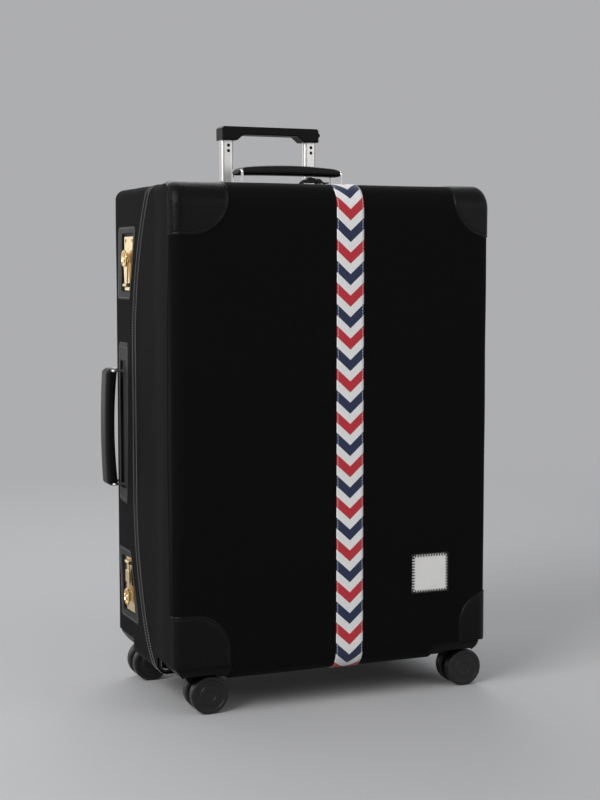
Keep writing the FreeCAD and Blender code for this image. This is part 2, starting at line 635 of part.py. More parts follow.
def caster_fork(corner):
    body = new_body(f"{corner}_fork")
    low, high = "Dim.fork_disc_low_z", "Dim.fork_disc_high_z"
    disc = draw_circle(sketch_on(body, "XY_Plane", low), "0", "0", "Dim.fork_disc_radius")
    pad(body, disc, f"{high} - {low}")
    stem = draw_circle(sketch_on(body, "XY_Plane", f"{high} - Dim.fork_root"), "0", "0", "Dim.stem_radius")
    pad(body, stem, f"Dim.stem_top_z - {high} + Dim.fork_root")
    axle_x, axle_z = "Dim.caster_trail", "Dim.wheel_radius"
    root, neck = f"{low} + Dim.fork_root", f"{low} - Dim.fork_neck"
    side, foot = f"{axle_z} - Dim.fork_hub_drop", f"{axle_z} - Dim.fork_foot_drop"
    web = [
        ("Dim.fork_back", root), ("Dim.fork_back + Dim.fork_flare", neck), (f"{axle_x} - Dim.fork_hub", side),
        (f"{axle_x} - Dim.fork_foot", foot), (f"{axle_x} + Dim.fork_foot", foot),
        (f"{axle_x} + Dim.fork_hub", side), ("Dim.fork_front", neck), ("Dim.fork_front", root),
    ]
    pad(body, draw(sketch_on(body, "XZ_Plane"), web), "Dim.fork_web", midplane=True)
    bore = draw_circle(sketch_on(body, "XZ_Plane"), axle_x, axle_z, "Dim.axle_radius")
    pocket(body, bore, "2 * Dim.fork_web", midplane=True)
    place(body, *caster_centre(corner), "0", ((0, 0, 1), caster_yaw(corner)))
    return keep(f"{corner}_fork", body)


def axle_centre(corner):
    x, y = caster_centre(corner)
    trail = "+" if caster_yaw(corner) == 0 else "-"
    return f"{x} {trail} Dim.caster_trail", y


def caster_axle(corner):
    x, y = axle_centre(corner)
    axle = rod(f"{corner}_axle", "Dim.axle_radius", "2 * Dim.axle_half", "y", x, f"{y} - Dim.axle_half",
               "Dim.wheel_radius")
    return keep(f"{corner}_axle", axle)


def caster_wheel(corner, side, turn):
    """One of a caster's two wheels: a grooved disc, turned about its axle, with a blind bore."""
    body = new_body(f"{corner}_wheel_{side}")
    tread, inner, outer = "Dim.wheel_radius", "Dim.wheel_inner", "Dim.wheel_outer"
    bore, end = "Dim.axle_radius + Dim.axle_play", "Dim.axle_half + Dim.axle_end_play"
    shoulder, slope, floor = f"{tread} - Dim.wheel_round", "Dim.groove_slope", f"{outer} - Dim.groove_deep"
    rim = f"{tread} - Dim.wheel_rim"
    band = f"{rim} - Dim.wheel_groove"
    hub = f"{band} - Dim.wheel_band"
    half = [
        ("0", end), (bore, end), (bore, inner), (shoulder, inner), (tread, f"{inner} + Dim.wheel_edge"),
        (tread, f"{outer} - Dim.wheel_round", "Dim.wheel_round"), (shoulder, outer), (rim, outer),
        (f"{rim} - {slope}", floor), (f"{band} + {slope}", floor), (band, outer), (hub, outer),
        (f"{hub} - {slope}", floor), ("0", floor),
    ]
    revolve(body, draw(sketch_on(body, "XY_Plane"), half), "V_Axis")
    x, y = axle_centre(corner)
    place(body, x, y, "Dim.wheel_radius", ((0, 0, 1), turn))
    return keep(f"{corner}_wheel_{side}", body)


def casters():
    for side in ("front", "rear"):
        housings = [caster_housing(corner) for corner in CASTERS if corner.startswith(side)]
        keep(f"{side}_caster_housings", group(f"{side}_caster_housings", housings))
    for corner in CASTERS:
        caster_fork(corner)
        caster_axle(corner)
        caster_wheel(corner, "fore", 180)
        caster_wheel(corner, "aft", 0)


# Pull-out handles


def handle_grip(name, legs_apart):
    """Padded grip along X, crowned on top and arched underneath, with a cross hole near each end."""
    body = new_body(name)
    half = f"({legs_apart} / 2 + Dim.grip_overhang)"
    under, end, shoulder = f"-Dim.{name}_under", f"Dim.{name}_end", f"Dim.{name}_shoulder"
    inward = f"({half} - Dim.{name}_taper)"
    points = [
        (f"-{half}", under, f"-Dim.{name}_arch"), (half, under), (half, end),
        (inward, shoulder, f"Dim.{name}_crown"), (f"-{inward}", shoulder), (f"-{half}", end),
    ]
    pad(body, draw(sketch_on(body, "XZ_Plane"), points), "2 * Dim.grip_half_width", midplane=True)
    edge_y = value("Dim.grip_half_width")
    bevel(body, "Dim.grip_bevel", lambda e: lies_at(e, 1, edge_y) or lies_at(e, 1, -edge_y))
    holes = sketch_on(body, "XZ_Plane")
    for sign in "-+":
        draw_circle(holes, f"{sign} {legs_apart} / 2", "0", "Dim.wire_radius + Dim.wire_play")
    pocket(body, holes, "4 * Dim.grip_half_width", midplane=True)
    return body


def handle_bail(name, x):
    """Bent wire with two legs, whose crossbar runs through the grip and whose feet are headed."""
    body = new_body(name)
    foot, out, bend = "-Dim.leg_length", "Dim.leg_spread", "Dim.wire_bend"
    path = [
        (f"-{out}", foot), (f"-{out}", f"-{bend}", f"-{bend}"), (f"-{out} + {bend}", "0"),
        (f"{out} - {bend}", "0", f"-{bend}"), (out, f"-{bend}"), (out, foot),
    ]
    spine = draw(sketch_on(body, "YZ_Plane", x), path, closed=False)
    profile = draw_circle(sketch_on(body, "XY_Plane", foot), x, f"-{out}", "Dim.wire_radius")
    doc.recompute()
    wire = body.newObject("PartDesign::AdditivePipe", name + "_wire")
    wire.Profile = profile
    wire.Spine = (spine, [f"Edge{i}" for i in range(1, len(path))])
    doc.recompute()
    heads = sketch_on(body, "XY_Plane", foot)
    for sign in "-+":
        draw_circle(heads, x, f"{sign} {out}", "Dim.leg_head_radius")
    pad(body, heads, "Dim.leg_head", backwards=True)
    return body


def pull_handle(way, legs_apart, x, y, z, turn):
    """Grip and two bails of the top or the side handle."""
    grip = place(handle_grip(f"{way}_grip", legs_apart), x, y, z, turn)
    keep(f"{way}_handle_grip", grip)
    bails = [handle_bail(f"{way}_bail", f"{sign} {legs_apart} / 2") for sign in "-+"]
    for bail in bails:
        place(bail, x, y, z, turn)
    keep(f"{way}_handle_bails", group(f"{way}_handle_bails", bails))


def guide_block(name, centre, half, along):
    """Block inside a wall with two bores that the legs of one bail slide in."""
    x, y, z = centre
    blank = box(name + "_blank", *[span(c, h) for c, h in zip(centre, half)])
    radius, length = "Dim.wire_radius + Dim.wire_play", "2 * Dim.guide_long"
    bores = []
    for sign in "-+":
        leg_y = f"{y} {sign} Dim.leg_spread"
        start = (x, leg_y, f"{z} - Dim.guide_long") if along == "z" else (f"{x} - Dim.guide_long", leg_y, z)
        bores.append(rod(name + "_bore", radius, length, along, *start))
    return cut(name, blank, bores)


GUIDE_HALF = "Dim.guide_long / 2"
GUIDE_NARROW = "Dim.guide_width / 2"
TOP_GUIDES = [(f"({sign} Dim.top_handle_span / 2)", "Dim.top_handle_y",
               f"({TOP_Z} - {SHELL_IN} - {GUIDE_HALF})") for sign in "-+"]
SIDE_GUIDES = [(f"({LEFT_X} + {SHELL_IN} + {GUIDE_HALF})", "Dim.side_handle_y",
                f"(Dim.side_handle_z {sign} Dim.side_handle_span / 2)") for sign in "-+"]
TOP_GUIDE_HALVES = (GUIDE_NARROW, "Dim.guide_reach", GUIDE_HALF)
SIDE_GUIDE_HALVES = (GUIDE_HALF, "Dim.guide_reach", GUIDE_NARROW)


def guide_clearances():
    """Openings in the lining around the handle guides."""
    tools = []
    for centres, halves in ((TOP_GUIDES, TOP_GUIDE_HALVES), (SIDE_GUIDES, SIDE_GUIDE_HALVES)):
        for centre in centres:
            spans = [span(c, f"({half} + Dim.part_play)") for c, half in zip(centre, halves)]
            tools.append(box("guide_room", *spans))
    return tools


def handles():
    pull_handle("top", "Dim.top_handle_span", "0", "Dim.top_handle_y", "Dim.top_handle_z", None)
    pull_handle("side", "Dim.side_handle_span", "Dim.side_handle_x", "Dim.side_handle_y",
                "Dim.side_handle_z", ((0, 1, 0), -90))
    tops = [guide_block("top_guide", centre, TOP_GUIDE_HALVES, "z") for centre in TOP_GUIDES]
    sides = [guide_block("side_guide", centre, SIDE_GUIDE_HALVES, "x") for centre in SIDE_GUIDES]
    keep("top_handle_guides", group("top_handle_guides", tops))
    keep("side_handle_guides", group("side_handle_guides", sides))


# Trolley


def tube(name, x, width, depth, radius, low, high):
    """Oval tube with the trolley's wall thickness."""
    body = new_body(name)
    sketch = sketch_on(body, "XY_Plane", low)
    draw_rounded(sketch, x, "Dim.trolley_y", width, depth, radius)
    walls = "2 * Dim.tube_wall"
    draw_rounded(sketch, x, "Dim.trolley_y", f"{width} - {walls}", f"{depth} - {walls}",
                 f"{radius} - Dim.tube_wall")
    pad(body, sketch, f"({high}) - ({low})")
    return body


TUBE_FRONT = "(Dim.trolley_y - Dim.inner_tube_depth / 2)"


def tube_plug(x, z):
    """Small dark plug, sunk a little in the front wall of an inner tube."""
    return rod("tube_plug", "Dim.plug_radius", "Dim.tube_wall - Dim.plug_sunk", "y", x,
               f"{TUBE_FRONT} + Dim.plug_sunk", z)


def inner_tube(x, plug_places):
    high = "Dim.trolley_grip_low_z + Dim.tube_socket"
    body = tube("inner_tube", x, "Dim.inner_tube_width", "Dim.inner_tube_depth", "Dim.tube_round",
                "Dim.inner_tube_low_z", high)
    holes = [rod("plug_hole", "Dim.plug_radius", "2 * Dim.tube_wall", "y", px,
                 f"{TUBE_FRONT} - Dim.tube_wall / 2", pz) for px, pz in plug_places]
    return cut("inner_tube", body, holes)


def trolley_grip():
    body = new_body("trolley_grip")
    half, inner = "Dim.trolley_grip_width / 2", "(Dim.trolley_grip_width / 2 - Dim.trolley_grip_end)"
    left, right = f"Dim.trolley_x - {half}", f"Dim.trolley_x + {half}"
    left_foot, right_foot = f"Dim.trolley_x - {inner}", f"Dim.trolley_x + {inner}"
    low, arch, high = "Dim.trolley_grip_low_z", "Dim.trolley_grip_arch_z", "Dim.trolley_grip_high_z"
    corner, slope = "Dim.trolley_grip_bevel", "Dim.trolley_grip_slope"
    points = [
        (left, low), (left_foot, low), (f"{left_foot} + {slope}", arch), (f"{right_foot} - {slope}", arch),
        (right_foot, low), (right, low), (right, f"{high} - {corner}"), (f"{right} - {corner}", high),
        (f"{left} + {corner}", high), (left, f"{high} - {corner}"),
    ]
    sketch = draw(sketch_on(body, "XZ_Plane", "-Dim.trolley_y"), points)
    pad(body, sketch, "2 * Dim.trolley_grip_half_depth", midplane=True)
    roof = value(arch)
    soften(body, "Dim.arch_round", lambda e: runs_along(e, 1) and abs(middle_of(e).z - roof) < 1e-3)
    levels = [value(f"Dim.trolley_y {sign} Dim.trolley_grip_half_depth") for sign in "-+"]
    soften(body, "Dim.trolley_grip_round", lambda e: any(lies_at(e, 1, level) for level in levels))
    sockets = sketch_on(body, "XY_Plane", low)
    for x in TUBE_X:
        draw_rounded(sockets, x, "Dim.trolley_y", "Dim.inner_tube_width", "Dim.inner_tube_depth",
                     "Dim.tube_round")
    pocket(body, sockets, "Dim.tube_socket", backwards=True)
    slot = sketch_on(body, "YZ_Plane", right)
    draw_rounded(slot, "Dim.trolley_y", "Dim.button_z", "Dim.button_width + 2 * Dim.button_play",
                 "Dim.button_height + 2 * Dim.button_play", "Dim.button_round + Dim.button_play")
    pocket(body, slot, "Dim.button_deep + Dim.button_room")
    keep("trolley_grip", body)

    button = new_body("trolley_button")
    face = sketch_on(button, "YZ_Plane", f"{right} - Dim.button_deep")
    draw_rounded(face, "Dim.trolley_y", "Dim.button_z", "Dim.button_width", "Dim.button_height",
                 "Dim.button_round")
    pad(button, face, "Dim.button_deep + Dim.button_proud")
    tip = value(f"{right} + Dim.button_proud")
    soften(button, "Dim.button_edge", lambda e: lies_at(e, 0, tip))
    keep("trolley_button", button)


def trolley():
    places = {x: [(f"{x} + Dim.plug_x", z) for z in ("Dim.plug_high_z", "Dim.plug_low_z")] for x in TUBE_X}
    keep("trolley_inner_tubes", group("trolley_inner_tubes", [inner_tube(x, places[x]) for x in TUBE_X]))
    plugs = [tube_plug(x, z) for each in places.values() for x, z in each]
    keep("trolley_tube_plugs", group("trolley_tube_plugs", plugs))
    middle = [tube("middle_tube", x, MIDDLE_WIDTH, MIDDLE_DEPTH, MIDDLE_ROUND, "Dim.middle_tube_low_z",
                   "Dim.middle_tube_high_z") for x in TUBE_X]
    keep("trolley_middle_tubes", group("trolley_middle_tubes", middle))
    outer = [tube("outer_tube", x, OUTER_WIDTH, OUTER_DEPTH, OUTER_ROUND, f"{BOTTOM_Z} + {LINING_IN}",
                  f"{TOP_Z} - {LINING_IN}") for x in TUBE_X]
    keep("trolley_outer_tubes", group("trolley_outer_tubes", outer))
    trolley_grip()

    bezel = new_body("trolley_bezel")
    plate = sketch_on(bezel, "XY_Plane", TOP_Z)
    draw_rounded(plate, "Dim.trolley_x", "Dim.trolley_y", "2 * Dim.bezel_half_x", "2 * Dim.bezel_half_y",
                 "Dim.bezel_round")
    pad(bezel, plate, "Dim.bezel_thick")
    level = value(f"{TOP_Z} + Dim.bezel_thick")
    soften(bezel, "Dim.bezel_edge", lambda e: lies_at(e, 2, level))
    mouths = [tube_mouth("bezel_mouth", x) for x in TUBE_X]
    keep("trolley_bezel", cut("trolley_bezel", bezel, mouths))

    side, front, wall = "Dim.trolley_box_half_x", "Dim.trolley_box_front_y", "Dim.trolley_box_wall"
    back = f"{REAR_Y} - {LINING_IN}"
    height = (f"{BOTTOM_Z} + {LINING_IN}", f"{TOP_Z} - {LINING_IN}")
    blank = box("trolley_box_blank", (f"-{side}", side), (front, back), height)
    solid = common("trolley_box_solid", case_block(LINING_IN), blank)
    hollow = box("trolley_box_hollow", (f"-{side} + {wall}", f"{side} - {wall}"),
                 (f"{front} + {wall}", REAR_Y), ("0", f"{TOP_Z} + {PAST_ALL}"))
    keep("trolley_housing", cut("trolley_housing", solid, [hollow]))


# Locks


LOCKS = {
    "upper": {
        "y": "Dim.upper_lock_y", "z": "Dim.upper_lock_z", "half": "Dim.upper_hasp_half",
        "knob_z": "(Dim.upper_lock_z + Dim.upper_knob_reach)", "reach": "Dim.upper_knob_reach", "tilt": None,
        "plate": [(46, 709), (70, 626), (97, 626), (98, 709)],
        "screws": [("56", "703"), ("91", "703"), ("91.5", "632")],
    },
    "lower": {
        "y": "Dim.lower_lock_y", "z": "Dim.lower_lock_z", "half": "Dim.lower_hasp_half",
        "knob_z": "(Dim.lower_lock_z - Dim.lower_knob_reach)", "reach": "Dim.lower_knob_reach",
        "tilt": ((1, 0, 0), 180),
        "plate": [(70, 204), (66.5, 186), (76, 186), (76, 160), (60, 160), (51.8, 119.5), (100, 118),
                  (100, 160), (88, 160), (88, 186), (102, 186), (102, 203)],
        "screws": [("60", "125"), ("95", "125"), ("97.5", "198")],
    },
}


def pin_along_y(name, radius, half, lock):
    """Round bar about a lock's hinge axis."""
    return rod(name, radius, f"2 * {half}", "y", "Dim.lock_axis_x", f"{lock['y']} - {half}", lock["z"])


def lock_plate(name, lock):
    """Plate behind a window, with two ears for the hasp's pin and a keeper under the knob."""
    body = new_body(name)
    y, z = lock["y"], lock["z"]
    sketch = draw(sketch_on(body, "YZ_Plane", f"{LEFT_X} + {SHELL_OUT}"), as_text(lock["plate"]))
    pad(body, sketch, "Dim.lock_plate_thick", backwards=True)
    doc.recompute()
    face = f"{LEFT_X} + {SHELL_OUT} - Dim.lock_plate_thick"
    parts = [body]
    for sign in "-+":
        near = f"{y} {sign} (Dim.lock_barrel_half + Dim.lock_gap)"
        far = f"{y} {sign} (Dim.lock_barrel_half + Dim.lock_gap + Dim.lock_ear)"
        low, high = in_order(near, far)
        parts.append(rod(name + "_ear", "Dim.lock_barrel_radius", "Dim.lock_ear", "y",
                         "Dim.lock_axis_x", low, z))
        parts.append(box(name + "_ear_foot", ("Dim.lock_axis_x", face), (low, high),
                         span(z, "Dim.lock_barrel_radius")))
    parts.append(box(name + "_keeper", (f"{face} - Dim.keeper_thick", face), span(y, "Dim.keeper_half"),
                     span(lock["knob_z"], "Dim.keeper_half")))
    bore = pin_along_y(name + "_bore", "Dim.lock_pin_radius", "2 * Dim.lock_pin_half", lock)
    holes = [rod(name + "_screw_hole", "Dim.screw_shank", "4 * Dim.lock_plate_thick", "x",
                 f"{face} - 2 * Dim.lock_plate_thick", sy, sz) for sy, sz in lock["screws"]]
    keep(name, cut(name, fuse(name + "_whole", parts), [bore] + holes))


def lock_hasp(name, lock, extra):
    """Tapered flap on a barrel; the knob's stem passes through its free end."""
    body = new_body(name + "_flap")
    tall, low, high = f"({lock['reach']} + Dim.hasp_end)", "Dim.hasp_half_low", lock["half"]
    foot, shoulder, nose = "Dim.hasp_foot", f"{tall} - Dim.hasp_nose", f"{high} - Dim.hasp_corner"
    points = [
        (f"-{low}", foot), (low, foot), (high, shoulder), (nose, tall), (f"-({nose})", tall),
        (f"-{high}", shoulder),
    ]
    sketch = draw(sketch_on(body, "YZ_Plane", "Dim.hasp_inner_x - Dim.lock_axis_x"), points)
    pad(body, sketch, "Dim.hasp_thick", backwards=True)
    outer = value("Dim.hasp_inner_x - Dim.lock_axis_x - Dim.hasp_thick")
    soften(body, "Dim.hasp_edge", lambda e: lies_at(e, 0, outer))
    place(body, "Dim.lock_axis_x", lock["y"], lock["z"], lock["tilt"])
    barrel = pin_along_y(name + "_barrel", "Dim.lock_barrel_radius", "Dim.lock_barrel_half", lock)
    bore = pin_along_y(name + "_bore", "Dim.lock_pin_radius + Dim.lock_pin_play", "2 * Dim.lock_pin_half", lock)
    stem = rod(name + "_stem_hole", "Dim.knob_stem + Dim.knob_stem_play", PAST_ALL, "x",
               f"Dim.lock_axis_x - {PAST_ALL} / 2", lock["y"], lock["knob_z"])
    keep(name, cut(name, fuse(name + "_whole", [body, barrel] + extra), [bore, stem]))


def hasp_collar(lock):
    """Raised block across the lower hasp, between its pin and its knob."""
    body = new_body("hasp_collar")
    y = span(lock["y"], "Dim.collar_half")
    z = (f"{lock['z']} - Dim.collar_far", f"{lock['z']} - Dim.collar_near")
    points = [(y[0], z[0]), (y[1], z[0]), (y[1], z[1]), (y[0], z[1])]
    pad(body, draw(sketch_on(body, "YZ_Plane", "Dim.hasp_inner_x"), points), "Dim.hasp_thick + Dim.collar_thick",
        backwards=True)
    outer = value("Dim.hasp_inner_x - Dim.hasp_thick - Dim.collar_thick")
    soften(body, "Dim.hasp_edge", lambda e: lies_at(e, 0, outer))
    return body


def lock_knob(name, lock):
    """Round turn knob with a raised rim, a hub and a cross over a sunk face; its stem stays within the hasp."""
    body = new_body(name)
    stem_end, radius = "Dim.hasp_thick - Dim.knob_stem_end", "Dim.knob_radius"
    base, top = "-Dim.knob_gap", "-Dim.knob_gap - Dim.knob_thick"
    floor = f"{top} + Dim.knob_floor"
    wall, slope, edge = f"{radius} - Dim.knob_rim", "Dim.knob_slope", "Dim.knob_edge"
    half = [
        (top, "0"), (top, "Dim.knob_hub"), (floor, f"Dim.knob_hub + {slope}"), (floor, f"{wall} - {slope}"),
        (top, wall), (top, f"{radius} - {edge}"), (f"{top} + {edge}", radius), (f"{base} - {edge}", radius),
        (base, f"{radius} - {edge}"), (base, "Dim.knob_stem"), (stem_end, "Dim.knob_stem"), (stem_end, "0"),
    ]
    revolve(body, draw(sketch_on(body, "XY_Plane"), half), "H_Axis")
    wide, long = "Dim.cross_half", "Dim.cross_reach"
    cross = [
        (wide, wide), (wide, long), (f"-{wide}", long), (f"-{wide}", wide), (f"-{long}", wide),
        (f"-{long}", f"-{wide}"), (f"-{wide}", f"-{wide}"), (f"-{wide}", f"-{long}"), (wide, f"-{long}"),
        (wide, f"-{wide}"), (long, f"-{wide}"), (long, wide),
    ]
    pad(body, draw(sketch_on(body, "YZ_Plane", floor), cross), "Dim.cross_tall", backwards=True)
    place(body, "Dim.hasp_inner_x - Dim.hasp_thick", lock["y"], lock["knob_z"])
    keep(name, body)


def screw(name, y, z):
    """Domed screw head with a short shank in the plate."""
    body = new_body(name)
    shank, head, dome = "Dim.lock_plate_thick - Dim.screw_end", "Dim.screw_radius", "-Dim.screw_dome"
    half = [
        ("0", "0"), (shank, "0"), (shank, "Dim.screw_shank"), ("0", "Dim.screw_shank"), ("0", head),
        (f"{dome} / 3", head), (dome, f"{head} / 2"), (dome, "0"),
    ]
    revolve(body, draw(sketch_on(body, "XY_Plane"), half), "H_Axis")
    return place(body, f"{LEFT_X} + {SHELL_OUT} - Dim.lock_plate_thick", y, z)


def locks():
    extras = {"upper": [], "lower": [hasp_collar(LOCKS["lower"])]}
    for way, lock in LOCKS.items():
        lock_plate(f"{way}_lock_plate", lock)
        lock_hasp(f"{way}_hasp", lock, extras[way])
        lock_knob(f"{way}_knob", lock)
    screws = [screw("lock_screw", y, z) for lock in LOCKS.values() for y, z in lock["screws"]]
    keep("lock_screws", group("lock_screws", screws))
    return [pin_along_y("lock_pin", "Dim.lock_pin_radius", "Dim.lock_pin_half", lock) for lock in LOCKS.values()]


# Lid hinges


def hinge_rod(name, radius, low, high):
    """Round bar about the lid's hinge axis, between two heights."""
    return rod(name, radius, f"({high}) - ({low})", "z", "Dim.hinge_x", "Dim.part_y", low)


def hinge_leaf(name, centre, toward, spans, bore):
    """Leaf on the right side with the barrel lengths listed in spans, counted from the hinge's centre."""
    x = (RIGHT_X, f"{RIGHT_X} + Dim.leaf_thick")
    y_near, y_far = f"Dim.part_y {toward} Dim.leaf_near", f"Dim.part_y {toward} Dim.leaf_far"
    parts = [box(name + "_plate", x, in_order(y_near, y_far), span(centre, "Dim.hinge_half"))]
    for low, high in spans:
        z = (f"{centre} + ({low})", f"{centre} + ({high})")
        parts.append(hinge_rod(name + "_barrel", "Dim.hinge_barrel", *z))
        parts.append(box(name + "_tab", x, in_order("Dim.part_y", y_near), z))
    hole = hinge_rod(name + "_bore", bore, *span(centre, "2 * Dim.hinge_half"))
    return cut(name, fuse(name + "_whole", parts), [hole])


def hinges():
    """Two butt hinges whose pins lie just outside the right face, on the straight run of the parting line."""
    third, play, pin = "Dim.hinge_third", "Dim.hinge_play", "Dim.hinge_pin_radius"
    outer_spans = [("-Dim.hinge_half", f"-{third} - {play}"), (f"{third} + {play}", "Dim.hinge_half")]
    inner_spans = [(f"-{third}", third)]
    loose = f"{pin} + Dim.hinge_pin_play"
    centres = ("Dim.hinge_low_z", "Dim.hinge_high_z")
    rear = [hinge_leaf("rear_leaf", centre, "+", outer_spans, pin) for centre in centres]
    front = [hinge_leaf("front_leaf", centre, "-", inner_spans, loose) for centre in centres]
    keep("rear_hinge_leaves", group("rear_hinge_leaves", rear))
    keep("front_hinge_leaves", group("front_hinge_leaves", front))
    return [hinge_rod("hinge_pin", pin, *span(centre, "Dim.hinge_half")) for centre in centres]


# Zip slider and pull

ZIP_TOP = f"({TOP_Z} + Dim.zip_proud)"
ZIP_SLOPE = "(Dim.part_y - Dim.part_top_y) / (Dim.part_head_z - Dim.part_top_z)"
ZIP_TOP_Y = f"(Dim.part_top_y + {ZIP_SLOPE} * (Dim.part_head_z - {TOP_Z}))"


def zip_slider():
    """Slider that rides on the rear tape, open towards the front, with two posts for the pull's pin."""
    low = f"({ZIP_TOP} + Dim.slider_lift)"
    high = f"({low} + Dim.slider_thick)"
    x = ("Dim.slider_x - Dim.slider_half", "Dim.slider_x + Dim.slider_half")
    y = (f"{ZIP_TOP_Y} - Dim.slider_front", f"{ZIP_TOP_Y} + Dim.slider_back")
    plate = box("slider_plate", x, y, (low, high))
    posts = []
    for sign in "-+":
        near, far = f"{ZIP_TOP_Y} {sign} Dim.post_near", f"{ZIP_TOP_Y} {sign} Dim.post_far"
        posts.append(box("slider_post", span("Dim.slider_x", "Dim.post_half"), in_order(near, far),
                         (f"{high} - Dim.post_root", f"{high} + Dim.post_tall")))
    pin_z = f"({high} + Dim.pull_pin_lift)"
    pin = rod("slider_pin", "Dim.pull_pin_radius", "2 * Dim.post_far", "y", "Dim.slider_x",
              f"{ZIP_TOP_Y} - Dim.post_far", pin_z)
    keep("zip_slider", fuse("zip_slider", [plate, pin] + posts))
    zip_pull(pin_z)


def zip_pull(pin_z):
    """Folded leather tab, narrowed to an eye on the slider's pin; its free end comes down to the cover."""
    strip = new_body("pull_strip")
    end, thick = "Dim.pull_eye_end", "Dim.pull_thick"
    upper = [
        (end, f"{thick} / 2"), ("-Dim.pull_flat", f"{thick} / 2"), ("-Dim.pull_fold", "Dim.pull_fold_rise"),
        ("-Dim.pull_ridge", "Dim.pull_ridge_rise"), ("-Dim.pull_fall", "Dim.pull_fall_rise"),
        ("-Dim.pull_length", f"{thick} - Dim.pull_drop"),
    ]
    side_view = upper + [(u, f"{v} - {thick}") for u, v in reversed(upper)]
    pad(strip, draw(sketch_on(strip, "XZ_Plane"), side_view), "3 * Dim.pull_half", midplane=True)
    plan = new_body("pull_plan")
    half, eye, turn = "Dim.pull_half", "Dim.pull_eye_half", "Dim.pull_round"
    plan_view = [
        (end, f"-{eye}"), (end, eye), ("-Dim.pull_neck", eye), (f"-Dim.pull_neck - {turn}", half),
        (f"-Dim.pull_length + {turn}", half, turn), ("-Dim.pull_length", f"{half} - {turn}"),
        ("-Dim.pull_length", f"-{half} + {turn}", turn), (f"-Dim.pull_length + {turn}", f"-{half}"),
        (f"-Dim.pull_neck - {turn}", f"-{half}"), ("-Dim.pull_neck", f"-{eye}"),
    ]
    pad(plan, draw(sketch_on(plan, "XY_Plane"), plan_view), "Dim.pull_length", midplane=True)
    for item in (strip, plan):
        place(item, "Dim.slider_x", ZIP_TOP_Y, pin_z)
    hole = rod("pull_hole", "Dim.pull_pin_radius + Dim.pull_pin_play", "2 * Dim.pull_half", "y",
               "Dim.slider_x", f"{ZIP_TOP_Y} - Dim.pull_half", pin_z)
    keep("zip_pull", cut("zip_pull", common("pull_tab", strip, plan), [hole]))


rear_half()
front_half()
casters()
handles()
trolley()
pins = locks() + hinges()
keep("hinge_pins", group("hinge_pins", pins))
zip_slider()
doc.recompute()

for item in doc.Objects:
    if "Invalid" in item.State or "Error" in item.State:
        raise RuntimeError(f"{item.Label} failed: {item.State}")
for label, item in pieces.items():
    if item.Shape.isNull() or not item.Shape.isValid() or not item.Shape.Solids:
        raise RuntimeError(f"{label} is not a valid solid")

os.makedirs("parts", exist_ok=True)
for label, item in pieces.items():
    item.Shape.exportStep(f"parts/{label}.step")
    print(f"{label}: {len(item.Shape.Solids)} solids, {item.Shape.Volume / 1000:.1f} cm3")
print(len(pieces), "sub-parts")
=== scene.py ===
import json
import math

import bmesh
import bpy
import numpy as np
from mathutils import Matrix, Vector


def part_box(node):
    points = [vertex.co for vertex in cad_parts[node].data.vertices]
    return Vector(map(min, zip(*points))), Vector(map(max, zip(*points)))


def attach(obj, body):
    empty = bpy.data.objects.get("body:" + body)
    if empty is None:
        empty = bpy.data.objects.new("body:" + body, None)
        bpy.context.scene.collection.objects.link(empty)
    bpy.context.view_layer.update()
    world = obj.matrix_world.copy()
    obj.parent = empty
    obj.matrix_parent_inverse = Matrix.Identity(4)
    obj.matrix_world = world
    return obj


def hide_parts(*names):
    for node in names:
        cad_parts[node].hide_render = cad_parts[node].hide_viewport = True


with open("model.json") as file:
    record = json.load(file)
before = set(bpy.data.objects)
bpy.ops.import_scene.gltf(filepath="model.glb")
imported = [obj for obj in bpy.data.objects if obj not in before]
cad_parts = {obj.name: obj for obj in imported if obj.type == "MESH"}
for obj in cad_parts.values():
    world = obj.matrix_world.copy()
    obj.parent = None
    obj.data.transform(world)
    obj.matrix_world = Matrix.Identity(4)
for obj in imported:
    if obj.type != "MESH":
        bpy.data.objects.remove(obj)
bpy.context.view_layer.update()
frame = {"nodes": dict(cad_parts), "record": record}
scene = bpy.context.scene
mm = 0.001  # shapes are worked out in millimetres and go into the meshes in metres
print("frame loaded:", len(frame["nodes"]), "nodes")


# mesh helpers

weld = dict(merge=0.00002, sliver=0.00001, cutLine=0.000002, cutMerge=0.00005, cutSliver=0.00002)  # metres


def gridFaces(rows, columns, wrap=False):
    # four neighbours of a grid make one face; wrap joins the last column to the first
    index = np.arange(rows * columns).reshape(rows, columns)
    if wrap:
        index = np.hstack([index, index[:, :1]])
    return np.stack([index[:-1, :-1], index[:-1, 1:], index[1:, 1:], index[1:, :-1]], axis=-1).reshape(-1, 4)


def fetch(items, field, width=1, kind=np.float32):
    # one field of a mesh's vertices, corners or faces as an array
    values = np.empty(len(items) * width, dtype=kind)
    items.foreach_get(field, values)
    return values.reshape(-1, width) if width > 1 else values


def setUv(mesh, perCorner):
    # a pair in metres for each corner of each face
    layer = mesh.uv_layers.new(name="lay")
    layer.data.foreach_set("uv", perCorner.astype(np.float32).ravel())


def giveUv(mesh, perVertex):
    # a pair in millimetres for each vertex
    setUv(mesh, perVertex.reshape(-1, 2)[fetch(mesh.loops, "vertex_index", kind=np.int32)] * mm)


def giveBoxUv(mesh):
    # each face takes the two axes that its normal leans away from
    sides = fetch(mesh.polygons, "loop_total", kind=np.int32)
    lean = np.repeat(np.abs(fetch(mesh.polygons, "normal", 3)).argmax(axis=1), sides)
    places = fetch(mesh.vertices, "co", 3)[fetch(mesh.loops, "vertex_index", kind=np.int32)]
    across = np.where(lean == 0, places[:, 1], places[:, 0])
    along = np.where(lean == 2, places[:, 1], places[:, 2])
    setUv(mesh, np.stack([across, along], axis=1))


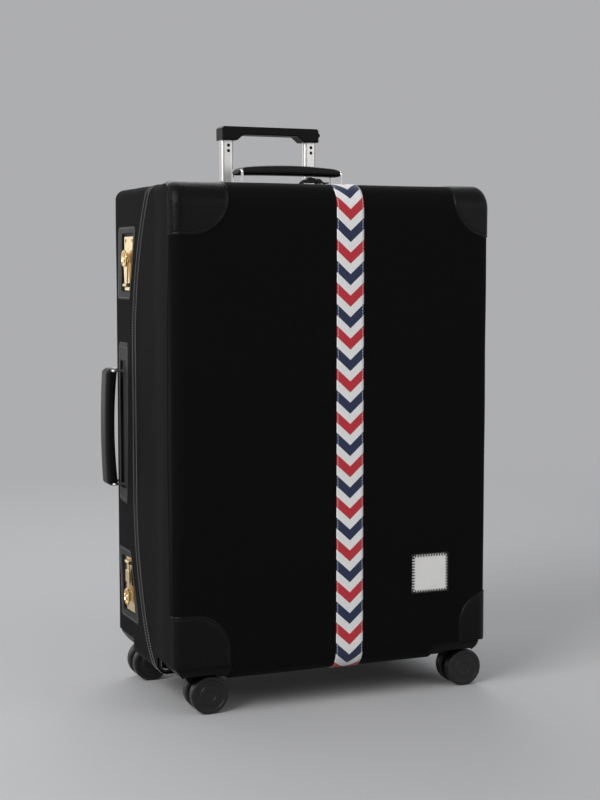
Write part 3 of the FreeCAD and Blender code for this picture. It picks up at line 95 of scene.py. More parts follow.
def tidyMesh(mesh, closed):
    # doubles are merged; a closed form then gets its normals turned outwards
    work = bmesh.new()
    work.from_mesh(mesh)
    bmesh.ops.remove_doubles(work, verts=work.verts, dist=weld["merge"])
    bmesh.ops.dissolve_degenerate(work, edges=work.edges, dist=weld["sliver"])
    if closed:
        bmesh.ops.recalc_face_normals(work, faces=work.faces)
    work.to_mesh(mesh)
    work.free()


def cutRegions(mesh, regions, margin=12.0):
    # each region is convex, bounded by planes: faces near it are divided along them, those inside deleted
    work = bmesh.new()
    work.from_mesh(mesh)
    for planes in regions:
        points = np.array([point for point, _ in planes], dtype=float) * mm
        normals = np.array([normal for _, normal in planes], dtype=float)
        normals /= np.linalg.norm(normals, axis=1, keepdims=True)

        def within(faces, reach):
            middles = np.array([face.calc_center_median() for face in faces]).reshape(-1, 3)
            depth = ((middles[:, None] - points[None]) * normals[None]).sum(axis=-1).max(axis=1)
            return [faces[i] for i in np.nonzero(depth < reach)[0]]

        near = within(list(work.faces), margin * mm)
        for point, normal in zip(points, normals):
            edges = list({edge for face in near for edge in face.edges})
            verts = list({vert for face in near for vert in face.verts})
            parted = bmesh.ops.bisect_plane(work, geom=near + edges + verts, dist=weld["cutLine"],
                                            plane_co=point, plane_no=normal)
            near = [item for item in parted["geom"] if isinstance(item, bmesh.types.BMFace)]
        bmesh.ops.delete(work, geom=within(near, 0.0), context="FACES")
    bmesh.ops.remove_doubles(work, verts=work.verts, dist=weld["cutMerge"])
    bmesh.ops.dissolve_degenerate(work, edges=work.edges, dist=weld["cutSliver"])
    work.to_mesh(mesh)
    work.free()


def prismPlanes(outline, axis):
    # side planes of a prism along an axis over a convex outline, whichever way the outline runs
    others = [i for i in range(3) if i != axis]
    outline = np.array(outline, dtype=float)
    middle = outline.mean(axis=0)
    planes = []
    for start, end in zip(outline, np.roll(outline, -1, axis=0)):
        across = np.array([end[1] - start[1], start[0] - end[0]])
        across = across if across @ (start - middle) > 0 else -across
        point, normal = np.zeros(3), np.zeros(3)
        point[others], normal[others] = start, across
        planes.append((point, normal))
    return planes


def half(axis, level, sign):
    # plane across an axis; the region lies on the side that sign points away from
    point, normal = np.zeros(3), np.zeros(3)
    point[axis], normal[axis] = level, sign
    return point, normal


def newMesh(name, points, faces, away=None, closed=False, uv=None):
    # away is a point inside: faces of an open sheet are turned so that they look away from it
    mesh = bpy.data.meshes.new(name)
    places = points.reshape(-1, 3)
    if away is not None:
        corners = places[faces]
        normal = np.cross(corners[:, 2] - corners[:, 0], corners[:, 3] - corners[:, 1])
        if (normal * (corners.mean(axis=1) - np.array(away))).sum() < 0:
            faces = faces[:, ::-1]
    mesh.from_pydata((places * mm).tolist(), [], faces.tolist())
    if uv is not None:
        giveUv(mesh, uv)
    tidyMesh(mesh, closed)
    return mesh


def ringMesh(name, points):
    # rings joined into a closed form, with a cap on each end
    mesh = newMesh(name, points, gridFaces(*points.shape[:2], wrap=True), closed=True)
    work = bmesh.new()
    work.from_mesh(mesh)
    bmesh.ops.holes_fill(work, edges=work.edges, sides=points.shape[1] + 2)
    bmesh.ops.recalc_face_normals(work, faces=work.faces)
    work.to_mesh(mesh)
    work.free()
    return mesh


def makePiece(mesh, material, body, replaced=(), thick=0.0, offset=-1.0):
    # a smooth object with one finish that rides a body; thick gives a sheet its wall
    mesh.materials.clear()
    mesh.materials.append(material)
    mesh.polygons.foreach_set("use_smooth", np.ones(len(mesh.polygons), dtype=bool))
    piece = bpy.data.objects.new(mesh.name, mesh)
    scene.collection.objects.link(piece)
    if thick:
        wall = piece.modifiers.new("wall", "SOLIDIFY")
        wall.thickness = thick * mm
        wall.offset = offset
        wall.use_rim = True
    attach(piece, body)
    if replaced:
        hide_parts(*replaced)
    return piece


def meshArea(mesh):
    # all faces added up, in square metres
    return float(fetch(mesh.polygons, "area").sum())


def boxOf(node):
    # low and high corner of a node, in millimetres
    return tuple(np.array(corner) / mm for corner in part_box(node))


# shader helpers

def addNode(tree, kind, values=None, links=None, **settings):
    # a node with its settings, values and links
    node = tree.nodes.new(kind)
    for name, setting in settings.items():
        setattr(node, name, setting)
    for socket, value in (values or {}).items():
        node.inputs[socket].default_value = value
    for socket, source in (links or {}).items():
        tree.links.new(source, node.inputs[socket])
    return node


def calc(tree, operation, first, second=None):
    # one step of arithmetic between sockets and numbers
    node = tree.nodes.new("ShaderNodeMath")
    node.operation = operation
    for socket, value in zip(node.inputs, (first, second)):
        if isinstance(value, (int, float)):
            socket.default_value = value
        elif value is not None:
            tree.links.new(value, socket)
    return node.outputs[0]


def blendColour(tree, mask, first, second):
    # from the first colour to the second as the mask goes from 0 to 1
    node = tree.nodes.new("ShaderNodeMix")
    node.data_type = "RGBA"
    tree.links.new(mask, node.inputs[0])
    for socket, value in ((node.inputs[6], first), (node.inputs[7], second)):
        if isinstance(value, tuple):
            socket.default_value = (*value, 1.0)
        else:
            tree.links.new(value, socket)
    return node.outputs[2]


def spread(tree, value, low, high):
    # a value from 0 to 1 becomes one from low to high
    return addNode(tree, "ShaderNodeMapRange", {"To Min": low, "To Max": high}, {"Value": value}).outputs[0]


def newGroup(name, label, value, outputs):
    # a group that takes a vector and one more value
    tree = bpy.data.node_groups.new(name, "ShaderNodeTree")
    tree.interface.new_socket("Vector", in_out="INPUT", socket_type="NodeSocketVector")
    kind = "NodeSocketVector" if isinstance(value, tuple) else "NodeSocketFloat"
    tree.interface.new_socket(label, in_out="INPUT", socket_type=kind).default_value = value
    for output in outputs:
        tree.interface.new_socket(output, in_out="OUTPUT", socket_type="NodeSocketFloat")
    return tree, tree.nodes.new("NodeGroupInput").outputs, tree.nodes.new("NodeGroupOutput").inputs


def weaveGroup():
    # warp and weft cross as two sine waves; a broad noise makes some threads paler
    tree, given, result = newGroup("plainWeave", "Threads", 900.0, ["Height", "Fleck"])
    scaled = addNode(tree, "ShaderNodeVectorMath", operation="SCALE",
                     links={"Vector": given["Vector"], "Scale": given["Threads"]}).outputs[0]
    parts = addNode(tree, "ShaderNodeSeparateXYZ", links={"Vector": scaled}).outputs
    warp = calc(tree, "SINE", calc(tree, "MULTIPLY", parts["X"], 2 * math.pi))
    weft = calc(tree, "SINE", calc(tree, "MULTIPLY", parts["Y"], 2 * math.pi))
    crossing = calc(tree, "MULTIPLY", warp, weft)
    slub = addNode(tree, "ShaderNodeTexNoise", {"Scale": 0.35, "Detail": 3.0}, {"Vector": scaled}).outputs[0]
    height = calc(tree, "ADD", calc(tree, "MULTIPLY", crossing, 0.5), slub)
    tree.links.new(height, result["Height"])
    tree.links.new(slub, result["Fleck"])
    return tree


def grainGroup():
    # rounded pebbles between creases, each pebble a cell of a cell texture
    tree, given, result = newGroup("leatherGrain", "Pebbles", 700.0, ["Height", "Crease"])
    wander = addNode(tree, "ShaderNodeTexNoise", {"Scale": 120.0, "Detail": 2.0},
                     {"Vector": given["Vector"]}).outputs[1]
    bent = addNode(tree, "ShaderNodeMix", {0: 0.004}, data_type="VECTOR")
    tree.links.new(given["Vector"], bent.inputs[4])
    tree.links.new(wander, bent.inputs[5])
    cells = addNode(tree, "ShaderNodeTexVoronoi", feature="SMOOTH_F1",
                    links={"Vector": bent.outputs[1], "Scale": given["Pebbles"]}).outputs[0]
    height = calc(tree, "SUBTRACT", 1.0, calc(tree, "POWER", cells, 1.6))
    tree.links.new(height, result["Height"])
    # the crease mask marks the hollows between pebbles, where the leather's colour gets painted shade
    tree.links.new(calc(tree, "GREATER_THAN", cells, 0.62), result["Crease"])
    return tree


def handlingGroup():
    # two noises, one broad and one fine, multiplied: where hands and dust have dulled a surface
    tree, given, result = newGroup("handling", "Scale", 9.0, ["Mask"])
    broad = addNode(tree, "ShaderNodeTexNoise", {"Detail": 4.0},
                    {"Vector": given["Vector"], "Scale": given["Scale"]}).outputs[0]
    finer = calc(tree, "MULTIPLY", given["Scale"], 14.0)
    fine = addNode(tree, "ShaderNodeTexNoise", {"Detail": 3.0},
                   {"Vector": given["Vector"], "Scale": finer}).outputs[0]
    tree.links.new(calc(tree, "MULTIPLY", broad, fine), result["Mask"])
    return tree


def brushGroup():
    # a noise drawn out along one axis leaves fine lines along it
    tree, given, result = newGroup("brushLines", "Stretch", (900.0, 900.0, 8.0), ["Line"])
    drawn = addNode(tree, "ShaderNodeVectorMath", operation="MULTIPLY").outputs[0]
    tree.links.new(given["Vector"], drawn.node.inputs[0])
    tree.links.new(given["Stretch"], drawn.node.inputs[1])
    line = addNode(tree, "ShaderNodeTexNoise", {"Scale": 1.0, "Detail": 4.0}, {"Vector": drawn}).outputs[0]
    tree.links.new(line, result["Line"])
    return tree


weave, grain, handling, brush = weaveGroup(), grainGroup(), handlingGroup(), brushGroup()


def startMaterial(name, **fixed):
    # fixed values go straight to the shader's own sockets; underscores stand for spaces
    material = bpy.data.materials.new(name)
    material.use_nodes = True
    shader = material.node_tree.nodes["Principled BSDF"]
    for socket, value in fixed.items():
        shader.inputs[socket.replace("_", " ")].default_value = value
    return material, material.node_tree


def finishMaterial(material, colour, roughness, height, strength, depth):
    # what changes over the surface: colour, roughness, and height as a bump of that depth in millimetres
    tree = material.node_tree
    sockets = tree.nodes["Principled BSDF"].inputs
    bump = addNode(tree, "ShaderNodeBump", {"Strength": strength, "Distance": depth * mm}, {"Height": height})
    for socket, source in (("Base Color", colour), ("Roughness", roughness), ("Normal", bump.outputs[0])):
        tree.links.new(source, sockets[socket])
    return material


def useGroup(tree, group, vector, **values):
    # a shared effect, placed in a material with its own values
    node = addNode(tree, "ShaderNodeGroup", node_tree=group)
    tree.links.new(vector, node.inputs["Vector"])
    for socket, value in values.items():
        node.inputs[socket].default_value = value
    return node.outputs


def layUv(tree):
    return addNode(tree, "ShaderNodeUVMap", uv_map="lay").outputs[0]


def objectPlace(tree):
    return addNode(tree, "ShaderNodeTexCoord").outputs["Object"]


def clothMaterial(name, dark, pale, fineness, roughness=0.82, depth=0.25, sheen=0.1, gloss=0.25):
    # threads as height, paler where slubs and wear add up
    material, tree = startMaterial(name, Sheen_Weight=sheen, Sheen_Roughness=0.45, Specular_IOR_Level=gloss)
    cloth = useGroup(tree, weave, layUv(tree), Threads=fineness)
    worn = useGroup(tree, handling, objectPlace(tree), Scale=7.0)["Mask"]
    fleck = calc(tree, "ADD", calc(tree, "MULTIPLY", cloth["Fleck"], 0.7), calc(tree, "MULTIPLY", worn, 0.6))
    rough = spread(tree, worn, roughness - 0.08, roughness + 0.12)
    return finishMaterial(material, blendColour(tree, fleck, dark, pale), rough, cloth["Height"], 0.5, depth)


def leatherMaterial(name, dark, pale, pebbles, depth, gloss, shine):
    # pebbles as height, painted shade darkening the creases between them, duller where it was handled
    material, tree = startMaterial(name, Specular_IOR_Level=shine)
    place = objectPlace(tree)
    hide = useGroup(tree, grain, place, Pebbles=pebbles)
    worn = useGroup(tree, handling, place, Scale=16.0)["Mask"]
    tone = blendColour(tree, worn, dark, pale)
    # painted shade: the creases between the pebbles are darkened to half of the dark tone
    creaseShaded = blendColour(tree, hide["Crease"], tone, tuple(0.5 * c for c in dark))
    rough = spread(tree, worn, gloss - 0.06, gloss + 0.16)
    return finishMaterial(material, creaseShaded, rough, hide["Height"], 0.9, depth)


def metalMaterial(name, tone, roughness, stretch, variation=0.12):
    # drawn lines vary the gloss, and wear dulls the tone
    material, tree = startMaterial(name, Metallic=1.0)
    place = objectPlace(tree)
    line = useGroup(tree, brush, place, Stretch=stretch)["Line"]
    worn = useGroup(tree, handling, place, Scale=22.0)["Mask"]
    colour = blendColour(tree, worn, tone, tuple(0.78 * c for c in tone))
    rough = calc(tree, "ADD", spread(tree, line, roughness - variation, roughness + variation),
                 calc(tree, "MULTIPLY", worn, 0.12))
    return finishMaterial(material, colour, rough, line, 0.12, 0.06)


def plasticMaterial(name, dark, pale, roughness, scale, depth, shine):
    # a fine moulded speckle, paler and duller where it was handled
    material, tree = startMaterial(name, Specular_IOR_Level=shine)
    place = objectPlace(tree)
    speck = addNode(tree, "ShaderNodeTexNoise", {"Scale": scale, "Detail": 3.0}, {"Vector": place}).outputs[0]
    worn = useGroup(tree, handling, place, Scale=13.0)["Mask"]
    rough = spread(tree, worn, roughness - 0.08, roughness + 0.15)
    return finishMaterial(material, blendColour(tree, worn, dark, pale), rough, speck, 0.35, depth)


def boardMaterial():
    # short fibres as colour and height
    material, tree = startMaterial("pressedBoard", Specular_IOR_Level=0.3)
    place = objectPlace(tree)
    fibre = useGroup(tree, brush, place, Stretch=(240.0, 240.0, 60.0))["Line"]
    worn = useGroup(tree, handling, place, Scale=11.0)["Mask"]
    colour = blendColour(tree, fibre, (0.006, 0.006, 0.006), (0.016, 0.0155, 0.015))
    return finishMaterial(material, colour, spread(tree, worn, 0.55, 0.8), fibre, 0.4, 0.3)


ribbonLook = dict(
    red=(0.5, 0.008, 0.022), white=(0.78, 0.78, 0.77), navy=(0.014, 0.024, 0.07),
    bars=((0.0, "red"), (0.26, "white"), (0.5, "navy"), (0.76, "white")), period=64.0, slope=0.9, ribs=850.0)


def ribbonMaterial():
    # arrows: the way along the ribbon plus its distance from the middle, cut into bars of three colours
    look = ribbonLook
    material, tree = startMaterial("ribbonWeave", Sheen_Weight=0.15, Specular_IOR_Level=0.3)
    parts = addNode(tree, "ShaderNodeSeparateXYZ", links={"Vector": layUv(tree)}).outputs
    slant = calc(tree, "MULTIPLY", calc(tree, "ABSOLUTE", parts["X"]), look["slope"])
    run = calc(tree, "ADD", parts["Y"], slant)
    phase = calc(tree, "FRACT", calc(tree, "DIVIDE", run, look["period"] * mm))
    ramp = addNode(tree, "ShaderNodeValToRGB", links={"Fac": phase})
    ramp.color_ramp.interpolation = "CONSTANT"
    while len(ramp.color_ramp.elements) < len(look["bars"]):
        ramp.color_ramp.elements.new(0.5)
    for element, (start, tone) in zip(ramp.color_ramp.elements, look["bars"]):
        element.position = start
        element.color = (*look[tone], 1.0)
    rib = calc(tree, "SINE", calc(tree, "MULTIPLY", parts["Y"], 2 * math.pi * look["ribs"]))
    worn = useGroup(tree, handling, objectPlace(tree), Scale=12.0)["Mask"]
    shade = addNode(tree, "ShaderNodeHueSaturation", {"Saturation": 0.97}, {"Color": ramp.outputs[0]})
    tree.links.new(spread(tree, worn, 1.03, 0.86), shade.inputs["Value"])
    return finishMaterial(material, shade.outputs[0], spread(tree, worn, 0.62, 0.85), rib, 0.35, 0.15)


materials = {
    "cover_cloth": clothMaterial("coverNylon", (0.0018, 0.0018, 0.0019), (0.005, 0.005, 0.0052), 820.0,
                                 sheen=0.03, gloss=0.04),
    "shell_board": boardMaterial(),
    "lining_cloth": clothMaterial("liningCloth", (0.2, 0.185, 0.16), (0.36, 0.335, 0.3), 640.0),
    "rail_metal": metalMaterial("railMetal", (0.62, 0.62, 0.62), 0.34, (20.0, 700.0, 700.0)),
    "corner_leather": leatherMaterial("cornerLeather", (0.0018, 0.0018, 0.0018), (0.005, 0.005, 0.0049),
                                      pebbles=1050.0, depth=0.42, gloss=0.3, shine=0.13),
    "binding_leather": leatherMaterial("bindingLeather", (0.014, 0.0138, 0.0134), (0.036, 0.0355, 0.0345),
                                       pebbles=900.0, depth=0.25, gloss=0.5, shine=0.15),
    "grip_leather": leatherMaterial("gripLeather", (0.004, 0.0039, 0.0037), (0.011, 0.0107, 0.0103),
                                    pebbles=1100.0, depth=0.2, gloss=0.38, shine=0.16),
    "ribbon_weave": ribbonMaterial(),
    "label_cloth": clothMaterial("labelCloth", (0.7, 0.69, 0.66), (0.84, 0.83, 0.8), 1300.0, 0.86, 0.12),
    "zip_coil": plasticMaterial("zipCoil", (0.004, 0.004, 0.0042), (0.012, 0.012, 0.0125),
                                roughness=0.4, scale=900.0, depth=0.05, shine=0.12),
    "lock_brass": metalMaterial("lockBrass", (0.92, 0.71, 0.38), 0.19, (160.0, 160.0, 160.0), 0.06),
    "bail_wire": metalMaterial("nickelWire", (0.78, 0.77, 0.74), 0.2, (300.0, 300.0, 300.0), 0.05),
    "tube_alloy": metalMaterial("satinAlloy", (0.74, 0.73, 0.71), 0.34, (1600.0, 1600.0, 6.0), 0.1),
    "black_plastic": plasticMaterial("blackPlastic", (0.004, 0.004, 0.0042), (0.011, 0.011, 0.0114),
                                     roughness=0.42, scale=1500.0, depth=0.12, shine=0.08),
    "wheel_rubber": plasticMaterial("wheelRubber", (0.008, 0.008, 0.0083), (0.022, 0.022, 0.023),
                                    roughness=0.42, scale=700.0, depth=0.15, shine=0.32),
    "steel_pin": metalMaterial("drawnSteel", (0.55, 0.55, 0.55), 0.3, (30.0, 600.0, 600.0)),
}
threads = {
    "grey": clothMaterial("greyThread", (0.24, 0.24, 0.24), (0.42, 0.42, 0.41), 2500.0, 0.7, 0.08),
    "black": clothMaterial("blackThread", (0.006, 0.006, 0.006), (0.016, 0.016, 0.0165), 2500.0, 0.6, 0.08),
    "white": clothMaterial("whiteThread", (0.62, 0.62, 0.6), (0.8, 0.8, 0.78), 2500.0, 0.75, 0.08),
}
for part in frame["record"]["subparts"]:
    node = frame["nodes"][part["node"]]
    node.data.materials.clear()
    node.data.materials.append(materials[part["material_slot"]])
print("materials made:", len(materials) + len(threads))


# case form, read from the frame's covers

frontBox, rearBox = boxOf("front_cover"), boxOf("rear_cover")
caseForm = dict(
    left=frontBox[0][0], right=frontBox[1][0], front=frontBox[0][1], rear=rearBox[1][1],
    low=min(frontBox[0][2], rearBox[0][2]), high=max(frontBox[1][2], rearBox[1][2]),
    frontRound=34.0, rearRound=16.0, sideRound=14.0)
caseMiddle = np.array([0.0, 0.0, (caseForm["low"] + caseForm["high"]) / 2])
partingLine = dict(
    points=((-73.0, 830.0), (46.0, 670.0), (46.0, 187.4), (-24.6, 80.0), (-94.0, 20.0)),
    radii=(395.0, 395.0, 40.0), arcSteps=40, play=0.35, coverEdge=4.6, liningEdge=14.6)
notchForm = dict(frontX=165.0, rearX=148.0, y=63.5, z=78.0)
standOff = 6.0  # guide lines run this far outside the case, and are then laid back on it


def layOnCase(points, lift=0.0):
    # nearest point of the case's core, then straight out by the end rounding and the lift
    form, inset = caseForm, caseForm["sideRound"]
    rounding = np.where(points[..., 1] < 0, form["frontRound"], form["rearRound"])
    x = np.clip(points[..., 0], form["left"] + inset, form["right"] - inset)
    y = np.clip(points[..., 1], form["front"] + form["frontRound"], form["rear"] - form["rearRound"])
    z = np.clip(points[..., 2], form["low"] + rounding, form["high"] - rounding)
    aside, above = points[..., 1] - y, points[..., 2] - z
    step = np.minimum(1.0, (rounding - inset) / np.maximum(np.hypot(aside, above), 1e-9))
    core = np.stack([x, y + aside * step, z + above * step], axis=-1)
    out = points - core
    out = out / np.linalg.norm(out, axis=-1, keepdims=True)
    return core + out * (inset + np.asarray(lift, dtype=float))[..., None], out


clothLook = dict(wave=0.22, topLift=1.8, sideLift=2.8, liftFrom=-52.0, liftTo=-112.0)


def swell(points, normals):
    # slow waves of the stretched cloth, and a lift round the stiffened front: more on the sides than on
    # the top, nothing on the flat front or underneath, fading out towards the zip
    look = clothLook
    x, y, z = points[..., 0], points[..., 1], points[..., 2]
    broad = np.sin(x / 47 + 1.3 * np.sin(z / 83)) * np.sin(z / 59 + y / 71)
    wave = broad + 0.6 * np.sin((x + z + 2 * y) / 29)
    share = np.clip((y - look["liftFrom"]) / (look["liftTo"] - look["liftFrom"]), 0, 1)
    lift = look["sideLift"] * normals[..., 0] ** 2 + look["topLift"] * np.maximum(normals[..., 2], 0) ** 2
    return look["wave"] * wave + share ** 2 * (3 - 2 * share) * lift


def dressCase(points, lift=0.0):
    # on the case as the cloth lies there, so that everything sewn to it follows the same waves
    flat, normals = layOnCase(points)
    return layOnCase(points, lift + swell(flat, normals))


def sheetMesh(name, points, uv=None, wrap=False):
    # a grid of points on the case as an open sheet that looks outwards
    return newMesh(name, points, gridFaces(*points.shape[:2], wrap), away=caseMiddle, uv=uv)


def roundedRun(points, radii, steps):
    # straight runs whose corners give way to arcs that touch both runs
    points = [np.array(point) for point in points]
    run = [points[0][None]]
    for before, corner, after, radius in zip(points, points[1:], points[2:], radii):
        into = (corner - before) / np.linalg.norm(corner - before)
        onward = (after - corner) / np.linalg.norm(after - corner)
        turn = math.acos(np.clip(into @ onward, -1, 1))
        side = onward - into * (into @ onward)
        side = side / np.linalg.norm(side)
        angle = np.linspace(0, turn, steps)[:, None]
        start = corner - into * radius * math.tan(turn / 2)
        run.append(start + radius * (np.sin(angle) * into + (1 - np.cos(angle)) * side))
    return np.vstack(run + [points[-1][None]])


partingRun = roundedRun(partingLine["points"], partingLine["radii"], partingLine["arcSteps"])


def partingY(z):
    # how far back the parting line runs at a height
    return np.interp(z, partingRun[::-1, 1], partingRun[::-1, 0])


def caseLoop(endSteps, sideSteps, arcSteps):
    # round the case seen from the front: four corner arcs joined by straight runs, each point with its normal
    reach = np.array([caseForm["right"], (caseForm["high"] - caseForm["low"]) / 2]) - caseForm["sideRound"]
    centres = np.array([(1, 1), (-1, 1), (-1, -1), (1, -1)]) * reach + caseMiddle[[0, 2]]
    places, normals = [], []
    for corner in range(4):
        angle = np.linspace(0, math.pi / 2, arcSteps) + corner * math.pi / 2
        normal = np.stack([np.cos(angle), np.sin(angle)], axis=1)
        arc = centres[corner] + caseForm["sideRound"] * normal
        following = centres[(corner + 1) % 4] + caseForm["sideRound"] * normal[-1]
        steps = endSteps if corner % 2 == 0 else sideSteps
        share = np.linspace(0, 1, steps + 2)[1:-1, None]
        places += [arc, arc[-1] + (following - arc[-1]) * share]
        normals += [normal, np.repeat(normal[-1:], steps, axis=0)]
    return np.vstack(places), np.vstack(normals)


def pathLength(points):
    # way along a line up to each of its points
    return np.concatenate([[0.0], np.cumsum(np.linalg.norm(np.diff(points, axis=0), axis=1))])


def halfSection(way, edge, inset, steps):
    # a half seen from the side, moved in by inset: along the top from the parting line, round, down the big
    # face, round, and back along the bottom to the parting line moved by edge
    runSteps, arcSteps, faceSteps = steps
    rounding = (caseForm["frontRound"] if way < 0 else caseForm["rearRound"]) - inset
    face = (caseForm["front"] if way < 0 else caseForm["rear"]) - way * inset
    high, low = caseForm["high"] - inset, caseForm["low"] + inset
    inner, topEnd, lowEnd = face - way * rounding, partingY(high) + edge, partingY(low) + edge
    angle = np.linspace(0, math.pi / 2, arcSteps)
    share = np.linspace(0, 1, runSteps)
    y = np.concatenate([topEnd + (inner - topEnd) * share[:-1], inner + way * rounding * np.sin(angle),
                        np.full(faceSteps, face), inner + way * rounding * np.cos(angle),
                        inner + (lowEnd - inner) * share[1:]])
    z = np.concatenate([np.full(runSteps - 1, high), high - rounding * (1 - np.cos(angle)),
                        np.linspace(high - rounding, low + rounding, faceSteps + 2)[1:-1],
                        low + rounding * (1 - np.sin(angle)), np.full(runSteps - 1, low)])
    return np.stack([y, z], axis=1)


def caseTray(way, edge, look):
    # half of the case, way -1 front and 1 rear: rows follow its section, columns go from the parting line
    # over one end cap, round that cap's edge, along the band, and over the other end cap
    inset, capColumns, bandColumns = caseForm["sideRound"], look["capColumns"], look["bandColumns"]
    angle = np.linspace(math.pi / 2, 0, look["arcColumns"])
    arcs = np.stack([halfSection(way, edge, inset * (1 - math.cos(a)), look["steps"]) for a in angle], axis=1)
    rim = arcs[:, 0]
    length = pathLength(rim)
    level = rim[0, 1] + (rim[-1, 1] - rim[0, 1]) * length / length[-1]
    parting = np.stack([partingY(level) + edge, level], axis=1)
    share = np.linspace(1, 0, capColumns)[:-1]
    caps = rim[:, None] + (parting - rim)[:, None] * share[None, :, None]
    side = np.concatenate([caps, arcs], axis=1)
    reach = caseForm["right"] - inset
    sideX = np.concatenate([np.full(capColumns - 1, caseForm["right"]), reach + inset * np.sin(angle)])
    bandX = np.linspace(-reach, reach, bandColumns + 2)[1:-1]
    plane = np.concatenate([side, np.repeat(arcs[:, -1:], bandColumns, axis=1), side[:, ::-1]], axis=1)
    x = np.concatenate([-sideX, bandX, sideX[::-1]])
    return np.concatenate([np.broadcast_to(x[None, :, None], plane.shape[:2] + (1,)), plane], axis=-1)


def notchRegions(way):
    # the two bottom corners of a half give way to the caster housings
    near = notchForm["frontX" if way < 0 else "rearX"]
    return [[half(0, side * near, -side), half(1, way * notchForm["y"], -way), half(2, notchForm["z"], 1)]
            for side in (-1, 1)]


def ringOutline(centre, radius, count=10):
    # a circle as a polygon
    angle = np.linspace(0, 2 * math.pi, count, endpoint=False)
    return np.stack([centre[0] + radius * np.cos(angle), centre[1] + radius * np.sin(angle)], axis=1)


def boxOutline(low, high):
    # a rectangle's corners in turn
    return [(low[0], low[1]), (high[0], low[1]), (high[0], high[1]), (low[0], high[1])]


coverLook = dict(thick=1.4, steps=(16, 10, 72), arcColumns=7, capColumns=26, bandColumns=64, cutDepth=30.0,
                 tubeRoom=1.0)
windowForms = {
    "upper": ([(31, 725), (67, 611), (135, 611), (126, 725)],
              [(42, 714), (68, 624), (109, 624), (104, 714)]),
    "handle": ([(78, 544), (89, 287), (132, 290), (131, 544)],
               [(91, 514), (91, 312), (122, 312), (122, 514)]),
    "lower": ([(75, 215), (29, 104), (126, 104), (139, 216)],
              [(69, 206), (50, 118), (113, 116), (123, 202)]),
}  # outer and inner corners on the left side, as (y, z)
wireForm = dict(hole=2.8, head=3.5)  # the legs' feet are headed, so a bail's box is wider than its wire
tubeWidth = 25.0


def wireHoles():
    # where the handles' wire legs come through the cover, from the bails' boxes
    def legs(node, first, second):
        low, high = boxOf(node)
        low, high = low + wireForm["head"], high - wireForm["head"]
        return [(a, b) for a in (low[first], high[first]) for b in (low[second], high[second])]

    return legs("top_handle_bails", 0, 1), legs("side_handle_bails", 1, 2)


def trolleyMouths(room):
    # outlines round the trolley's tubes, with some room, in the top of the rear half
    low, high = boxOf("trolley_middle_tubes")
    low, high, width = low - room, high + room, tubeWidth + 2 * room
    return [(2, boxOutline((near, low[1]), (near + width, high[1]))) for near in (low[0], high[0] - width)]


def wallCuts(depth, outlines):
    # each outline goes through the left side, axis 0, or through the top, axis 2, down to a depth
    walls = {0: half(0, caseForm["left"] + depth, 1), 2: half(2, caseForm["high"] - depth, -1)}
    return [prismPlanes(outline, axis) + [walls[axis]] for axis, outline in outlines]


def coverOpenings():
    # windows and wire holes of the rear half, and the mouths under the trolley's bezel
    tops, sides = wireHoles()
    outlines = [(0, inner) for _, inner in windowForms.values()]
    outlines += [(2, ringOutline(centre, wireForm["hole"])) for centre in tops]
    outlines += [(0, ringOutline(centre, wireForm["hole"])) for centre in sides]
    return wallCuts(coverLook["cutDepth"], outlines + trolleyMouths(coverLook["tubeRoom"]))


def halfCover(name, way, node, body):
    # half of the case with the cloth's waves, cut open where pieces come through
    points, _ = dressCase(caseTray(way, way * partingLine["coverEdge"], coverLook))
    mesh = sheetMesh(name, points)
    cutRegions(mesh, notchRegions(way) + (coverOpenings() if way > 0 else []))
    giveBoxUv(mesh)
    piece = makePiece(mesh, materials["cover_cloth"], body, [node], thick=coverLook["thick"])
    meshArea(mesh)
    return piece


frontCover = halfCover("frontCover", -1, "front_cover", "lid")
rearCover = halfCover("rearCover", 1, "rear_cover", "base")
print("covers made:", len(frontCover.data.polygons), len(rearCover.data.polygons), "faces")


# linings inside the two halves

liningLook = dict(
    inset=5.4, thick=0.8, steps=(12, 5, 64), arcColumns=4, capColumns=16, bandColumns=52, tuft=1.2,
    tuftPitch=92.0, faceFrom=150.0, faceFade=4.0, guideHalf=(7.6, 25.8), cutDepth=40.0, tubeRoom=2.0)


def liningOpenings():
    # room in the lining for the blocks that the handles' legs slide in, and for the trolley's tubes
    tops, sides = wireHoles()
    wide, reach = liningLook["guideHalf"]
    topY, sideY = np.mean([y for _, y in tops]), np.mean([y for y, _ in sides])
    outlines = [(2, boxOutline((x - wide, topY - reach), (x + wide, topY + reach)))
                for x in sorted({round(x, 3) for x, _ in tops})]
    outlines += [(0, boxOutline((sideY - reach, z - wide), (sideY + reach, z + wide)))
                 for z in sorted({round(z, 3) for _, z in sides})]
    return wallCuts(liningLook["cutDepth"], outlines + trolleyMouths(liningLook["tubeRoom"]))


def flipTowards(mesh, middle):
    # faces of a lining look into the case
    outward = fetch(mesh.polygons, "normal", 3) * (fetch(mesh.polygons, "center", 3) - middle * mm)
    if outward.sum() > 0:
        mesh.flip_normals()


def halfLining(name, way, node, body):
    # soft diamonds on the big face: two slanting waves, faded out towards the sides
    look = liningLook
    rows = caseTray(way, way * partingLine["liningEdge"], look)
    flat, _ = layOnCase(rows)
    rising, falling = (math.pi * (flat[..., 0] + sign * flat[..., 2]) / look["tuftPitch"] for sign in (1, -1))
    quilt = np.abs(np.sin(rising) * np.sin(falling))
    onFace = np.clip((way * flat[..., 1] - look["faceFrom"]) / look["faceFade"], 0, 1)
    points, _ = layOnCase(rows, -look["inset"] - look["tuft"] * (quilt ** 0.5) * onFace)
    mesh = newMesh(name, points, gridFaces(*points.shape[:2]))
    flipTowards(mesh, caseMiddle)
    cutRegions(mesh, notchRegions(way) + (liningOpenings() if way > 0 else []))
    giveBoxUv(mesh)
    piece = makePiece(mesh, materials["lining_cloth"], body, [node], thick=look["thick"],
                      offset=0.0)
    meshArea(mesh)


